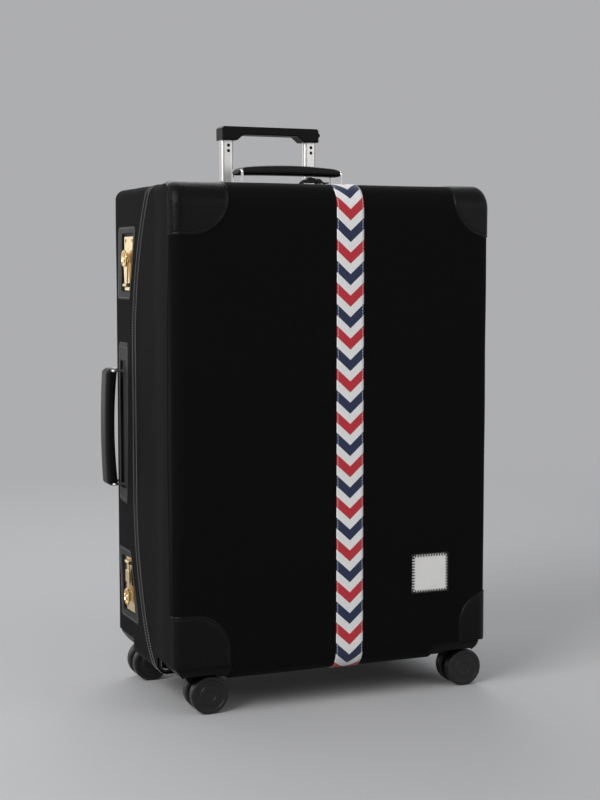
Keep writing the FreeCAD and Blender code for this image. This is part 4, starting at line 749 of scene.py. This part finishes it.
halfLining("frontLining", -1, "front_lining", "lid")
halfLining("rearLining", 1, "rear_lining", "base")
print("linings made")


# strips and stitches that follow a line on the case

def pathFrame(points, normals):
    # way along, way across and way out at each point of a line on the case
    along = np.gradient(points, axis=0)
    along = along / np.linalg.norm(along, axis=1, keepdims=True)
    across = np.cross(normals, along)
    across = across / np.linalg.norm(across, axis=1, keepdims=True)
    return along, across


def spaced(points, step, start=0.0, stop=None):
    # points at even steps along a line
    length = pathLength(points)
    stop = length[-1] if stop is None else stop
    count = max(2, int(round((stop - start) / step)) + 1)
    at = np.linspace(start, stop, count)
    return np.stack([np.interp(at, length, points[:, axis]) for axis in range(3)], axis=1), at


def manyGrids(count, rows, columns):
    # faces of a number of like grids, one after another
    one = gridFaces(rows, columns)
    return (one[None] + (np.arange(count) * rows * columns)[:, None, None]).reshape(-1, 4)


def stitchMesh(name, guide, lift, pitch, length, radius, across=False, closed=False):
    # half-round threads end to end along a guide line near the case; across turns each square to the line
    centres, _ = spaced(guide, pitch)
    centres = centres[:-1] if closed else centres
    places, normals = dressCase(centres, lift)
    along, aside = pathFrame(places, normals)
    if across:
        along, aside = aside, -along
    run = np.array([-0.5, -0.36, 0.0, 0.36, 0.5]) * length
    thick = np.array([0.25, 0.8, 1.0, 0.8, 0.25]) * radius
    turn = np.linspace(0, math.pi, 5)
    shape = (places[:, None, None] + along[:, None, None] * run[None, :, None, None]
             + aside[:, None, None] * (thick[:, None] * np.cos(turn))[None, ..., None]
             + normals[:, None, None] * (thick[:, None] * (np.sin(turn) - 0.25))[None, ..., None])
    faces = manyGrids(len(places), len(run), len(turn))
    return newMesh(name, shape, faces, away=caseMiddle, uv=shape[..., [0, 2]])


def layGrid(across, along):
    # one pair for each point of a grid, from a value for each column and one for each row
    return np.stack(np.broadcast_arrays(across[None], along[:, None]), axis=-1)


def stripMesh(name, line, profile):
    # profile of (across, lift) carried along a line of points near the case
    offsets = np.array(profile, dtype=float)
    places, normals = layOnCase(line)
    _, across = pathFrame(places, normals)
    rows = places[:, None] + across[:, None] * offsets[None, :, :1] + normals[:, None] * standOff
    points, _ = dressCase(rows, np.broadcast_to(offsets[None, :, 1], rows.shape[:2]))
    return sheetMesh(name, points, layGrid(offsets[:, 0], pathLength(places)))


hingeRoom = 6.0
hingeSpan = (boxOf("rear_hinge_leaves")[0][2] - hingeRoom, boxOf("rear_hinge_leaves")[1][2] + hingeRoom)


def zipLine(step):
    # once round the case on the parting line, from above the hinges to below them
    rim, normal = caseLoop(400, 600, 30)

    def nearest(level):
        onRight = rim[:, 0] > caseForm["right"] - 1e-6
        return int(np.argmin(np.where(onRight, np.abs(rim[:, 1] - level), 1e9)))

    start = nearest(hingeSpan[1])
    rim, normal = np.roll(rim, -start, axis=0), np.roll(normal, -start, axis=0)
    last = nearest(hingeSpan[0])
    outside = (rim + standOff * normal)[:last + 1]
    line = np.stack([outside[:, 0], partingY(rim[:last + 1, 1]), outside[:, 1]], axis=1)
    return spaced(line, step)[0]


def shifted(line, amount):
    # the same line, moved back by an amount
    return line + np.array([0.0, amount, 0.0])


zipLook = dict(
    steps=(4.0, 0.55), tapeEdge=7.5, tapeLift=-0.5, tapeThick=0.6, pitch=3.0, coil=(0.4, 3.0),
    coilShape=((0, -0.5), (0.08, 0.45), (0.35, 0.9), (0.65, 0.9), (0.92, 0.4), (1, -0.5)),
    hem=((-0.1, -1.2), (-0.3, 0.2), (0.3, 0.5), (1.4, 0.55), (3.0, 0.4), (4.4, 0.5), (5.0, 0.3), (5.2, -0.1)),
    stitchAt=7.6, stitchLift=0.6, stitch=dict(pitch=4.4, length=2.4, radius=0.62))


def zipBand(name, line, way, profile, wave=None):
    # across is the distance from the parting line, towards the half that the band belongs to
    offsets = np.array(profile, dtype=float)
    shift = np.zeros((len(offsets), 3))
    shift[:, 1] = way * offsets[:, 0]
    rows = line[:, None] + shift[None]
    lift = np.broadcast_to(offsets[None, :, 1], rows.shape[:2])
    if wave is not None:
        lift = np.where(lift > 0, lift * wave, lift)
    points, _ = dressCase(rows, lift)
    return sheetMesh(name, points, layGrid(offsets[:, 0], pathLength(line)))


def zipHalf(label, way, node, body):
    # tape, coil, hem and stitches; the coil's lift beats along the zip, the two halves out of step
    look = zipLook
    coarse, fine = (zipLine(step) for step in look["steps"])
    tapeShape = [(across, look["tapeLift"]) for across in (partingLine["play"], look["tapeEdge"])]
    near, far = look["coil"]
    coilShape = [(near + share * (far - near), lift) for share, lift in look["coilShape"]]
    hemShape = [(partingLine["coverEdge"] + across, lift) for across, lift in look["hem"]]
    beat = 0.5 + 0.5 * np.cos(2 * math.pi * pathLength(fine) / look["pitch"] + (0 if way < 0 else math.pi))
    makePiece(zipBand(label + "ZipTape", coarse, way, tapeShape), materials["cover_cloth"], body,
              thick=look["tapeThick"])
    coil = makePiece(zipBand(label + "ZipCoil", fine, way, coilShape, beat[:, None]), materials["zip_coil"],
                     body, [node])
    makePiece(zipBand(label + "ZipHem", coarse, way, hemShape), materials["cover_cloth"], body)
    seam = shifted(coarse, way * look["stitchAt"])
    makePiece(stitchMesh(label + "ZipStitches", seam, look["stitchLift"], **look["stitch"]),
              threads["grey"], body)
    return coil


frontCoil = zipHalf("front", -1, "zip_front", "lid")
zipHalf("rear", 1, "zip_rear", "base")
print("zip made:", len(frontCoil.data.polygons), "coil faces on each half")


# seams of the cover: a lapped edge beside a row of stitches

seamLook = dict(
    side=((-142, 701), (-133, 615), (-128, 470), (-129, 325), (-135, 178), (-138, 90)),
    profile=[(-7.0, -0.05), (-2.4, 0.5), (-0.5, 1.2), (0.1, 1.1), (0.35, -0.1)],
    backInset=26.0, backRound=22.0, backStep=5.0)


def frontSeamLine(side):
    # up one side from the notch to the top, bowed as the cloth pulls
    ys, zs = np.array(seamLook["side"], dtype=float).T
    z = np.linspace(notchForm["z"] + 2, caseForm["high"] - caseForm["frontRound"] - 2, 120)
    y = np.interp(z, zs[::-1], ys[::-1])
    y = np.convolve(np.pad(y, 8, mode="edge"), np.ones(17) / 17, mode="valid")
    return np.stack([np.full(len(z), side * (caseForm["right"] + standOff)), y, z], axis=1)


for side, label in ((-1, "left"), (1, "right")):
    makePiece(stripMesh(label + "FrontSeam", frontSeamLine(side)[::-side], seamLook["profile"]),
              materials["cover_cloth"], "lid")
backReach = np.array([caseForm["right"], (caseForm["high"] - caseForm["low"]) / 2]) - seamLook["backInset"]
backTurns = np.array([(0, -1), (1, -1), (1, 1), (-1, 1), (-1, -1), (0, -1)], dtype=float) * backReach
backRun = roundedRun(backTurns, [seamLook["backRound"]] * 4, 12)
backY = np.full(len(backRun), caseForm["rear"] + standOff)
backLine = np.stack([backRun[:, 0], backY, backRun[:, 1] + caseMiddle[2]], axis=1)
makePiece(stripMesh("backSeam", spaced(backLine, seamLook["backStep"])[0], seamLook["profile"]),
          materials["cover_cloth"], "base")
print("seams made")


# corner leathers: quarter-round patches with a rolled, stitched edge

cornerLook = dict(
    arc=58.0, thick=1.2, lip=1.9, lipWidth=3.2, groove=0.75, rows=46, columns=46, stitchIn=4.6,
    stitchLift=0.85, stitch=dict(pitch=3.4, length=2.4, radius=0.3),
    patches={
        "upperLeft": dict(inner=(-169.0, 707.0), side=-1, up=1, wrap=(1.2, 12.0)),
        "upperRight": dict(inner=(195.0, 707.0), side=1, up=1, wrap=(1.2, 12.0)),
        "lowerLeft": dict(inner=(-169.0, 156.0), side=-1, up=-1, wrap=(1.2, 0.0)),
        "lowerRight": dict(inner=(208.0, 156.0), side=1, up=-1, wrap=(1.2, 0.0)),
    })


def overEdge(distance, flat, radius):
    # (way along the face, way back from it) after going a distance: flat first, then round an edge, then back
    angle = np.clip((distance - flat) / radius, 0, math.pi / 2)
    past = np.maximum(distance - flat - radius * math.pi / 2, 0)
    return np.minimum(distance, flat) + radius * np.sin(angle), radius * (1 - np.cos(angle)) + past


def cornerPoints(patch, a, b):
    # a runs from the patch's inner edge to the side, b from its inner edge to the top or bottom
    side, up = patch["side"], patch["up"]
    startX, startZ = patch["inner"]
    flatA = abs(side * caseForm["right"] - startX) - caseForm["sideRound"]
    endZ = caseForm["high"] if up > 0 else caseForm["low"]
    flatB = abs(endZ - startZ) - caseForm["frontRound"]
    alongA, backA = overEdge(a, flatA, caseForm["sideRound"])
    alongB, backB = overEdge(b, flatB, caseForm["frontRound"])
    back = backA + backB
    points = np.stack([startX + side * alongA, caseForm["front"] + back, startZ + up * alongB], axis=-1)
    points[..., 1] -= standOff * np.exp(-back / 4)
    return points


def cornerReach(patch):
    # straight way to both edges of the face, longer by what each rounding adds, and the wrap past it
    startX, startZ = patch["inner"]
    pastA, pastB = patch["wrap"]
    longer = math.pi / 2 - 1
    reachA = abs(patch["side"] * caseForm["right"] - startX) + caseForm["sideRound"] * longer + pastA
    if patch["up"] < 0:
        return reachA, startZ - notchForm["z"]
    return reachA, abs(caseForm["high"] - startZ) + caseForm["frontRound"] * longer + pastB


def cornerEdge(a, arc):
    # lower limit of b at each a: a quarter circle, then straight
    return arc - np.sqrt(np.maximum(arc ** 2 - np.maximum(arc - a, 0) ** 2, 0))


def cornerLeather(label, patch):
    # a grid from the patch's inner edge to the case's edges, lifted by the distance from its outline
    look = cornerLook
    reachA, reachB = cornerReach(patch)
    arc = min(look["arc"], reachA - 4, reachB - 4)
    bend = arc * (1 - np.cos(np.linspace(0, math.pi / 2, look["columns"])))
    straight = np.linspace(arc, reachA, look["columns"])[1:]
    a = np.concatenate([bend, straight])
    grade = np.concatenate([np.linspace(0, 0.1, 14), np.linspace(0.1, 1, look["rows"])[1:]])
    base = cornerEdge(a, arc)
    b = base[None] + (reachB - base)[None] * grade[:, None]
    a = np.broadcast_to(a[None], b.shape)
    inArc = (a < arc) & (b < arc)
    fromEdge = np.where(inArc, arc - np.hypot(arc - a, arc - b), np.minimum(a, b))
    fromEdge = np.minimum(fromEdge, reachA - a + 0.3)
    if patch["up"] > 0:
        fromEdge = np.minimum(fromEdge, reachB - b + 0.3)
    # rolled lip at the edge, a sewn groove beside it, then the full hide
    roll = np.sin(np.clip(fromEdge / look["lipWidth"], 0, 1) * math.pi / 2)
    sewn = np.exp(-((fromEdge - look["stitchIn"]) / 1.1) ** 2)
    body = look["thick"] + (look["lip"] - look["thick"]) * np.exp(-((fromEdge - 1.8) / 1.2) ** 2)
    lift = roll * body - look["groove"] * 0.6 * sewn
    points, _ = dressCase(cornerPoints(patch, a, b), lift)
    return sheetMesh(label + "Leather", points, np.stack([a, b], axis=-1)), arc, reachA, reachB


def cornerStitchLine(patch, arc, reachA, reachB, inset):
    # along the patch's inner edge, a little inside it
    angle = np.linspace(0, math.pi / 2, 40)
    radius = arc - inset
    bend = np.stack([arc - radius * np.cos(angle), arc - radius * np.sin(angle)], axis=1)
    ab = np.vstack([[(inset, reachB - 1.0)], bend, [(reachA - 3.0, inset)]])
    steps = pathLength(ab)
    even = np.linspace(0, steps[-1], 160)
    ab = np.stack([np.interp(even, steps, ab[:, i]) for i in range(2)], axis=1)
    return cornerPoints(patch, ab[:, 0], ab[:, 1])


for label, patch in cornerLook["patches"].items():
    mesh, arc, reachA, reachB = cornerLeather(label, patch)
    node = "upper_corner_leathers" if patch["up"] > 0 else "lower_corner_leathers"
    piece = makePiece(mesh, materials["corner_leather"], "lid", [node])
    meshArea(mesh)
    line = cornerStitchLine(patch, arc, reachA, reachB, cornerLook["stitchIn"])
    makePiece(stitchMesh(label + "LeatherStitches", line, cornerLook["stitchLift"], **cornerLook["stitch"]),
              threads["black"], "lid")
print("corner leathers made")


# ribbon over the front, from zip to zip

ribbonBox = boxOf("front_ribbon")
ribbonForm = dict(
    x=(ribbonBox[0][0] + ribbonBox[1][0]) / 2, width=ribbonBox[1][0] - ribbonBox[0][0], lift=0.75, thick=0.5,
    step=4.0, columns=13, zipGap=5.2, stitchIn=2.0, stitchLift=0.85,
    stitch=dict(pitch=4.2, length=3.0, radius=0.35))


def ribbonLine(step):
    # down the case's section at the ribbon: back along the top, over the round, down the front and under
    front, low, high = caseForm["front"], caseForm["low"], caseForm["high"]
    gap = partingLine["coverEdge"] + ribbonForm["zipGap"]
    topEnd, lowEnd = (float(partingY(z)) - gap for z in (high, low))
    corners = [(topEnd, high), (front, high), (front, low), (lowEnd, low)]
    run = roundedRun(corners, [caseForm["frontRound"]] * 2, 24)
    line = np.stack([np.full(len(run), ribbonForm["x"]), run[:, 0], run[:, 1]], axis=1)
    return spaced(line, step)


def ribbonPoints(line, offset):
    # outwards from the section by a little, so that the ribbon can be laid back on the case
    _, normals = layOnCase(line + 1e-3 * (line - caseMiddle))
    return line + standOff * normals + np.array([1.0, 0, 0]) * offset


line, along = ribbonLine(ribbonForm["step"])
offsets = np.linspace(-0.5, 0.5, ribbonForm["columns"]) * ribbonForm["width"]
rows = np.stack([ribbonPoints(line, offset) for offset in offsets], axis=1)
edgeFall = np.clip((ribbonForm["width"] / 2 - np.abs(offsets)) / 1.2, 0.35, 1.0)
points, _ = dressCase(rows, ribbonForm["lift"] * edgeFall[None] + 0.1 * np.sin(along / 23)[:, None])
ribbonMesh = sheetMesh("frontRibbon", points, layGrid(offsets, along))
ribbon = makePiece(ribbonMesh, materials["ribbon_weave"], "lid", ["front_ribbon"],
                   thick=ribbonForm["thick"])
for side, label in ((-1, "left"), (1, "right")):
    guide = ribbonPoints(line, side * (ribbonForm["width"] / 2 - ribbonForm["stitchIn"]))
    makePiece(stitchMesh(label + "RibbonStitches", guide, ribbonForm["stitchLift"], **ribbonForm["stitch"]),
              threads["white"], "lid")
print("ribbon made")


# blank label, whip-stitched round its edge

labelBox = boxOf("label_patch")
labelForm = dict(
    x=(labelBox[0][0] + labelBox[1][0]) / 2, z=(labelBox[0][2] + labelBox[1][2]) / 2,
    halfWide=(labelBox[1][0] - labelBox[0][0]) / 2, halfTall=(labelBox[1][2] - labelBox[0][2]) / 2,
    edgeLift=0.2, lift=0.7, thick=0.4, steps=33, whipAt=0.975, whipLift=1.3,
    whip=dict(pitch=4.6, length=6.6, radius=1.2))


def beforeLabel(across, upward):
    # both from -1 to 1 over the label, on a plane in front of the case
    x = labelForm["x"] + across * labelForm["halfWide"]
    z = labelForm["z"] + upward * labelForm["halfTall"]
    return np.stack([x, np.full(x.shape, caseForm["front"] - standOff), z], axis=-1)


across, upward = np.meshgrid(*[np.linspace(-1, 1, labelForm["steps"])] * 2)
edgeNear = 1 - np.maximum(np.abs(across), np.abs(upward))
ripple = 0.12 * np.sin(across * 4) * np.sin(upward * 3 + 1)
rows = beforeLabel(across, upward)
points, _ = dressCase(rows, labelForm["edgeLift"] + labelForm["lift"] * np.clip(edgeNear * 14, 0, 1) + ripple)
labelMesh = sheetMesh("frontLabel", points, rows[..., [0, 2]])
label = makePiece(labelMesh, materials["label_cloth"], "lid", ["label_patch"],
                  thick=labelForm["thick"])
turns = np.array([(-1, -1), (1, -1), (1, 1), (-1, 1), (-1, -1)]) * labelForm["whipAt"]
rim = beforeLabel(turns[:, 0], turns[:, 1])
for i in range(4):
    whips = stitchMesh(f"labelWhip{i}", rim[i:i + 2], labelForm["whipLift"], across=True, **labelForm["whip"])
    makePiece(whips, threads["black"], "lid")
print("label made")


# leather bindings round the windows of the left side

bindingLook = dict(
    outerRound=7.0, innerRound=3.0, arcSteps=6, runSteps=26, lift=1.25, stitchAt=0.26, stitchLift=1.15,
    stitch=dict(pitch=3.4, length=2.3, radius=0.3))


def outlineLoop(corners, radius, arcSteps, runSteps):
    # closed outline with its corners rounded, the same number of points for every outline
    corners = [np.array(corner, dtype=float) for corner in corners]
    pieces = []
    for i, corner in enumerate(corners):
        before, after = corners[i - 1], corners[(i + 1) % len(corners)]
        run = roundedRun([before, corner, after], [radius], arcSteps)[1:-1]
        ahead = corners[(i + 2) % len(corners)]
        following = roundedRun([corner, after, ahead], [radius], arcSteps)[1]
        share = np.linspace(0, 1, runSteps + 2)[1:-1, None]
        pieces += [run, run[-1] + (following - run[-1]) * share]
    return np.vstack(pieces)


def besideCase(outline):
    # (y, z) points as places beside the left side
    x = np.full(outline.shape[:-1] + (1,), caseForm["left"] - standOff)
    return np.concatenate([x, outline], axis=-1)


def windowBinding(label, outer, inner):
    # from the outer outline to the inner one: a rolled edge, a sewn groove, a flat and a turned-in edge
    look = bindingLook
    outerLoop = outlineLoop(outer, look["outerRound"], look["arcSteps"], look["runSteps"])
    inward = outlineLoop(inner, look["innerRound"], look["arcSteps"], look["runSteps"]) - outerLoop
    share = np.array([0.0, 0.04, 0.1, 0.2, 0.32, 0.5, 0.68, 0.82, 0.92, 0.98, 1.0, 1.0])
    lift = np.array([-0.1, 0.55, 0.95, 1.0, 0.8, 1.0, 1.0, 0.9, 1.1, 1.0, 0.4, -1.6]) * look["lift"]
    rows = besideCase(outerLoop[None] + inward[None] * share[:, None, None])
    points, _ = dressCase(rows, np.broadcast_to(lift[:, None], rows.shape[:2]))
    guide = outerLoop + inward * look["stitchAt"]
    return sheetMesh(label + "WindowBinding", points, wrap=True), besideCase(np.vstack([guide, guide[:1]]))


for label, (outer, inner) in windowForms.items():
    mesh, guide = windowBinding(label, outer, inner)
    makePiece(mesh, materials["binding_leather"], "base", ["window_frames"])
    makePiece(stitchMesh(label + "WindowStitches", guide, bindingLook["stitchLift"], closed=True,
                         **bindingLook["stitch"]), threads["grey"], "base")
print("window bindings made")


# padded grips of the two pull-out handles

gripLook = dict(
    halfWide=18.2, overhang=3.5, endRound=6.0, around=48, along=110, square=4.2, stitchUp=3.0,
    stitch=dict(count=46, span=0.9, length=2.6, radius=0.32, sunk=0.35))
gripForms = {
    "top": dict(node="top_handle_grip", body="top_handle", legs=168.6, turned=False, under=7.2, arch=1.0,
                end=2.2, shoulder=6.2, taper=14.0, crown=3.4),
    "side": dict(node="side_handle_grip", body="side_handle", legs=179.4, turned=True, under=10.4, arch=5.4,
                 end=4.5, shoulder=8.6, taper=6.0, crown=2.5),
}


def gripSection(form, s):
    # half length from -1 to 1: a crown between two shoulders, slopes to the ends, an arched underside
    reach = form["legs"] / 2 + gripLook["overhang"]
    x = s * reach
    inward = reach - form["taper"]
    slope = np.clip((np.abs(x) - inward) / form["taper"], 0, 1)
    crown = form["crown"] * (1 - np.minimum(np.abs(x) / inward, 1) ** 2)
    top = form["shoulder"] + crown - (form["shoulder"] - form["end"]) * slope
    under = form["arch"] * (1 - s ** 2) - form["under"]
    ease = np.sqrt(np.maximum(1 - (1 - np.clip((reach - np.abs(x)) / gripLook["endRound"], 0, 1)) ** 2, 0))
    return x, top, under, 0.72 + 0.28 * ease, 0.3 + 0.7 * ease


def gripPoints(form, s, turn):
    # a squarish ring round the grip: both axes of a rounded square, narrowed towards the ends
    x, top, under, wide, tall = gripSection(form, s)
    power = 2 / gripLook["square"]
    c, d = np.cos(turn), np.sin(turn)
    across = np.sign(c) * np.abs(c) ** power * gripLook["halfWide"] * wide
    upward = (top + under) / 2 + np.sign(d) * np.abs(d) ** power * (top - under) / 2 * tall
    return np.stack(np.broadcast_arrays(x, across, upward), axis=-1)


def placeGrip(form, points):
    # the grip's own axes put on its node's box; the side grip stands upright
    low, high = boxOf(form["node"])
    if form["turned"]:
        centre = np.array([high[0] - form["under"], (low[1] + high[1]) / 2, (low[2] + high[2]) / 2])
        return np.stack([-points[..., 2], points[..., 1], points[..., 0]], axis=-1) + centre
    centre = np.array([(low[0] + high[0]) / 2, (low[1] + high[1]) / 2, low[2] + form["under"]])
    return points + centre


def gripStitches(label, form):
    # a row of threads on both flanks, following the lower edge of the wrapped leather
    stitch = gripLook["stitch"]
    x, _, under, wide, _ = gripSection(form, np.linspace(-1, 1, stitch["count"]) * stitch["span"])
    run = np.array([-0.5, -0.3, 0.0, 0.3, 0.5]) * stitch["length"]
    thick = np.array([0.2, 0.8, 1.0, 0.8, 0.2]) * stitch["radius"]
    turn = np.linspace(0, math.pi, 5)
    out = gripLook["halfWide"] * wide[:, None, None] + (thick[:, None] * np.sin(turn))[None] - stitch["sunk"]
    height = (under + gripLook["stitchUp"])[:, None, None] + (thick[:, None] * np.cos(turn))[None]
    faces = manyGrids(stitch["count"], len(run), len(turn))
    middle = placeGrip(form, np.zeros((1, 3)))[0]
    meshes = []
    for side, flank in ((-1, "Front"), (1, "Back")):
        axes = (x[:, None, None] + run[None, :, None], side * out, height)
        shape = np.stack(np.broadcast_arrays(*axes), axis=-1)
        meshes.append(newMesh(f"{label}GripStitches{flank}", placeGrip(form, shape), faces, away=middle,
                              uv=shape[..., [0, 2]]))
    return meshes


for label, form in gripForms.items():
    s = np.sin(np.linspace(-math.pi / 2, math.pi / 2, gripLook["along"]))[:, None]
    turn = np.linspace(0, 2 * math.pi, gripLook["around"], endpoint=False)[None]
    mesh = ringMesh(label + "Grip", placeGrip(form, gripPoints(form, s, turn)))
    grip = makePiece(mesh, materials["grip_leather"], form["body"], [form["node"]])
    for row in gripStitches(label, form):
        makePiece(row, threads["black"], form["body"])
print("grips made")


# zip pull: a bowed leather tab on the slider's pin

pullBox = boxOf("zip_pull")
pullLook = dict(
    eyeEnd=2.6, eyeHalf=1.1, eyeThick=1.5, drop=5.7, length=46.0, halfWide=8.0, thick=2.7, neck=9.0,
    endRound=7.0, hang=6.5, ridge=7.6, around=28, along=72,
    fold=((-46.0, -3.4), (-42.0, 2.0), (-30.0, 7.6), (-12.0, 5.0), (-4.0, 0.0), (2.6, 0.0)))


def pullPoints(s, turn):
    # s from the eye to the free end: the tab folds up to a ridge, widens behind the neck and rounds off
    look = pullLook
    run = look["eyeEnd"] - s * (look["eyeEnd"] + look["length"])
    at, level = np.array(look["fold"]).T
    height = np.interp(run[:, 0], at, level)
    height = np.convolve(np.pad(height, 4, mode="edge"), np.ones(9) / 9, mode="valid")[:, None]
    widen = np.clip((-run - look["neck"] + 4) / 8, 0, 1)
    past = np.clip((-run - look["length"]) / look["endRound"] + 1, 0, 1)
    endRound = np.sqrt(np.clip(1 - past ** 2, 0.0, 1))
    flare = look["eyeHalf"] + (look["halfWide"] - look["eyeHalf"]) * widen ** 1.4
    wide = flare * np.maximum(endRound, 0.05)
    thick = look["eyeThick"] + (look["thick"] - look["eyeThick"]) * widen
    c, d = np.cos(turn), np.sin(turn)
    across = np.sign(c) * np.abs(c) ** 0.55 * wide
    edge = (across / look["halfWide"]) ** 2
    crumple = widen * (0.7 * np.sin(run / 2.6 + across / 3.1) + 0.9 * edge * np.sin(run / 6.0))
    hang = np.maximum(height, 0) / look["ridge"] * look["hang"] * edge
    upward = height - hang + np.sign(d) * np.abs(d) ** 0.8 * thick * np.maximum(endRound, 0.15) + crumple
    return np.stack(np.broadcast_arrays(run, across, upward), axis=-1)


pin = np.array([pullBox[1][0] - pullLook["eyeEnd"], (pullBox[0][1] + pullBox[1][1]) / 2,
                pullBox[0][2] + pullLook["drop"]])
s = np.linspace(0, 1, pullLook["along"])[:, None]
turn = np.linspace(0, 2 * math.pi, pullLook["around"], endpoint=False)[None]
pullMesh = ringMesh("zipPullTab", pullPoints(s, turn) + pin)
makePiece(pullMesh, materials["grip_leather"], "pull", ["zip_pull"])
print("zip pull made")


# stage: a pale bowl that is floor and backdrop in one, soft lamps and the camera

stageLook = dict(radius=4.5, curve=1.6, wall=3.4, tone=(0.5, 0.5, 0.505), far=(0.42, 0.422, 0.43),
                 fade=(0.7, 3.2))
cameraLook = dict(place=(-0.94185, -2.28364, 0.66235), yaw=22.498, pitch=-4.863, focal=1564.58,
                  frameHigh=800.0, sensor=36.0)
lampLook = {
    "keyLamp": dict(place=(-2.7, -1.5, 2.3), target=(0, 0, 0.45), size=2.0, power=95.0),
    "fillLamp": dict(place=(2.2, -2.8, 1.6), target=(0, 0, 0.4), size=2.4, power=24.0),
    "backLamp": dict(place=(0.6, 2.4, 2.6), target=(0, 0, 0.6), size=2.0, power=35.0),
    "edgeLamp": dict(place=(-1.7, 2.9, 1.1), target=(-0.2, 0, 0.5), size=2.2, power=11.0),
}


def stageBowl():
    # a profile of flat floor, quarter round and wall, turned about the upright axis
    look = stageLook
    angle = np.linspace(0, math.pi / 2, 14)
    outer = look["radius"] + look["curve"]
    radius = np.concatenate([[0.02, 1.0, 2.0, 3.0], look["radius"] + look["curve"] * np.sin(angle), [outer]])
    height = np.concatenate([[0.0] * 4, look["curve"] * (1 - np.cos(angle)), [look["wall"]]])
    turn = np.linspace(0, 2 * math.pi, 72, endpoint=False)
    rows = np.stack([radius[:, None] * np.cos(turn), radius[:, None] * np.sin(turn),
                     np.broadcast_to(height[:, None], (len(radius), len(turn)))], axis=-1)
    mesh = bpy.data.meshes.new("stageBowl")
    faces = gridFaces(*rows.shape[:2], wrap=True)[:, ::-1].tolist() + [list(range(len(turn)))]
    mesh.from_pydata(rows.reshape(-1, 3).tolist(), [], faces)
    mesh.polygons.foreach_set("use_smooth", np.ones(len(mesh.polygons), dtype=bool))
    material, tree = startMaterial("paleStage", Base_Color=(*look["tone"], 1.0), Roughness=0.85,
                                   Specular_IOR_Level=0.2)
    # away from the case the stage fades into one even tone for the rays that see it
    away = addNode(tree, "ShaderNodeVectorMath", links={"Vector": objectPlace(tree)}, operation="LENGTH")
    near, far = look["fade"]
    fade = addNode(tree, "ShaderNodeMapRange", {"From Min": near, "From Max": far},
                   {"Value": away.outputs["Value"]}, interpolation_type="SMOOTHSTEP").outputs[0]
    rays = addNode(tree, "ShaderNodeLightPath").outputs
    indirect = calc(tree, "MAXIMUM", rays["Is Glossy Ray"], rays["Is Transmission Ray"])
    seen = calc(tree, "MAXIMUM", rays["Is Camera Ray"], indirect)
    even = addNode(tree, "ShaderNodeEmission", {"Color": (*look["far"], 1.0)}).outputs[0]
    blend = addNode(tree, "ShaderNodeMixShader", links={0: calc(tree, "MULTIPLY", fade, seen)})
    tree.links.new(tree.nodes["Principled BSDF"].outputs[0], blend.inputs[1])
    tree.links.new(even, blend.inputs[2])
    tree.links.new(blend.outputs[0], tree.nodes["Material Output"].inputs["Surface"])
    mesh.materials.append(material)
    bowl = bpy.data.objects.new("stageBowl", mesh)
    scene.collection.objects.link(bowl)


def addLamp(name, look):
    # an area lamp turned towards its target
    lamp = bpy.data.lights.new(name, "AREA")
    lamp.energy = look["power"]
    lamp.size = look["size"]
    holder = bpy.data.objects.new(name, lamp)
    way = np.array(look["target"]) - np.array(look["place"])
    way = way / np.linalg.norm(way)
    holder.location = look["place"]
    holder.rotation_euler = (math.acos(-way[2]), 0.0, math.atan2(way[1], way[0]) - math.pi / 2)
    scene.collection.objects.link(holder)


def addCamera():
    # the camera as fitted: its lens is the focal length over the frame's height, in pixels
    look = cameraLook
    camera = bpy.data.cameras.new("photoCamera")
    camera.sensor_width = look["sensor"]
    camera.lens = look["focal"] / look["frameHigh"] * look["sensor"]
    holder = bpy.data.objects.new("photoCamera", camera)
    holder.location = look["place"]
    holder.rotation_euler = (math.radians(90 + look["pitch"]), 0.0, math.radians(-look["yaw"]))
    scene.collection.objects.link(holder)
    scene.camera = holder


stageBowl()
for name, look in lampLook.items():
    addLamp(name, look)
addCamera()
world = bpy.data.worlds.new("softRoom")
world.use_nodes = True
world.node_tree.nodes["Background"].inputs["Color"].default_value = (0.9, 0.92, 0.95, 1.0)
world.node_tree.nodes["Background"].inputs["Strength"].default_value = 0.45
scene.world = world
scene.view_settings.view_transform = "Standard"
print("stage set")
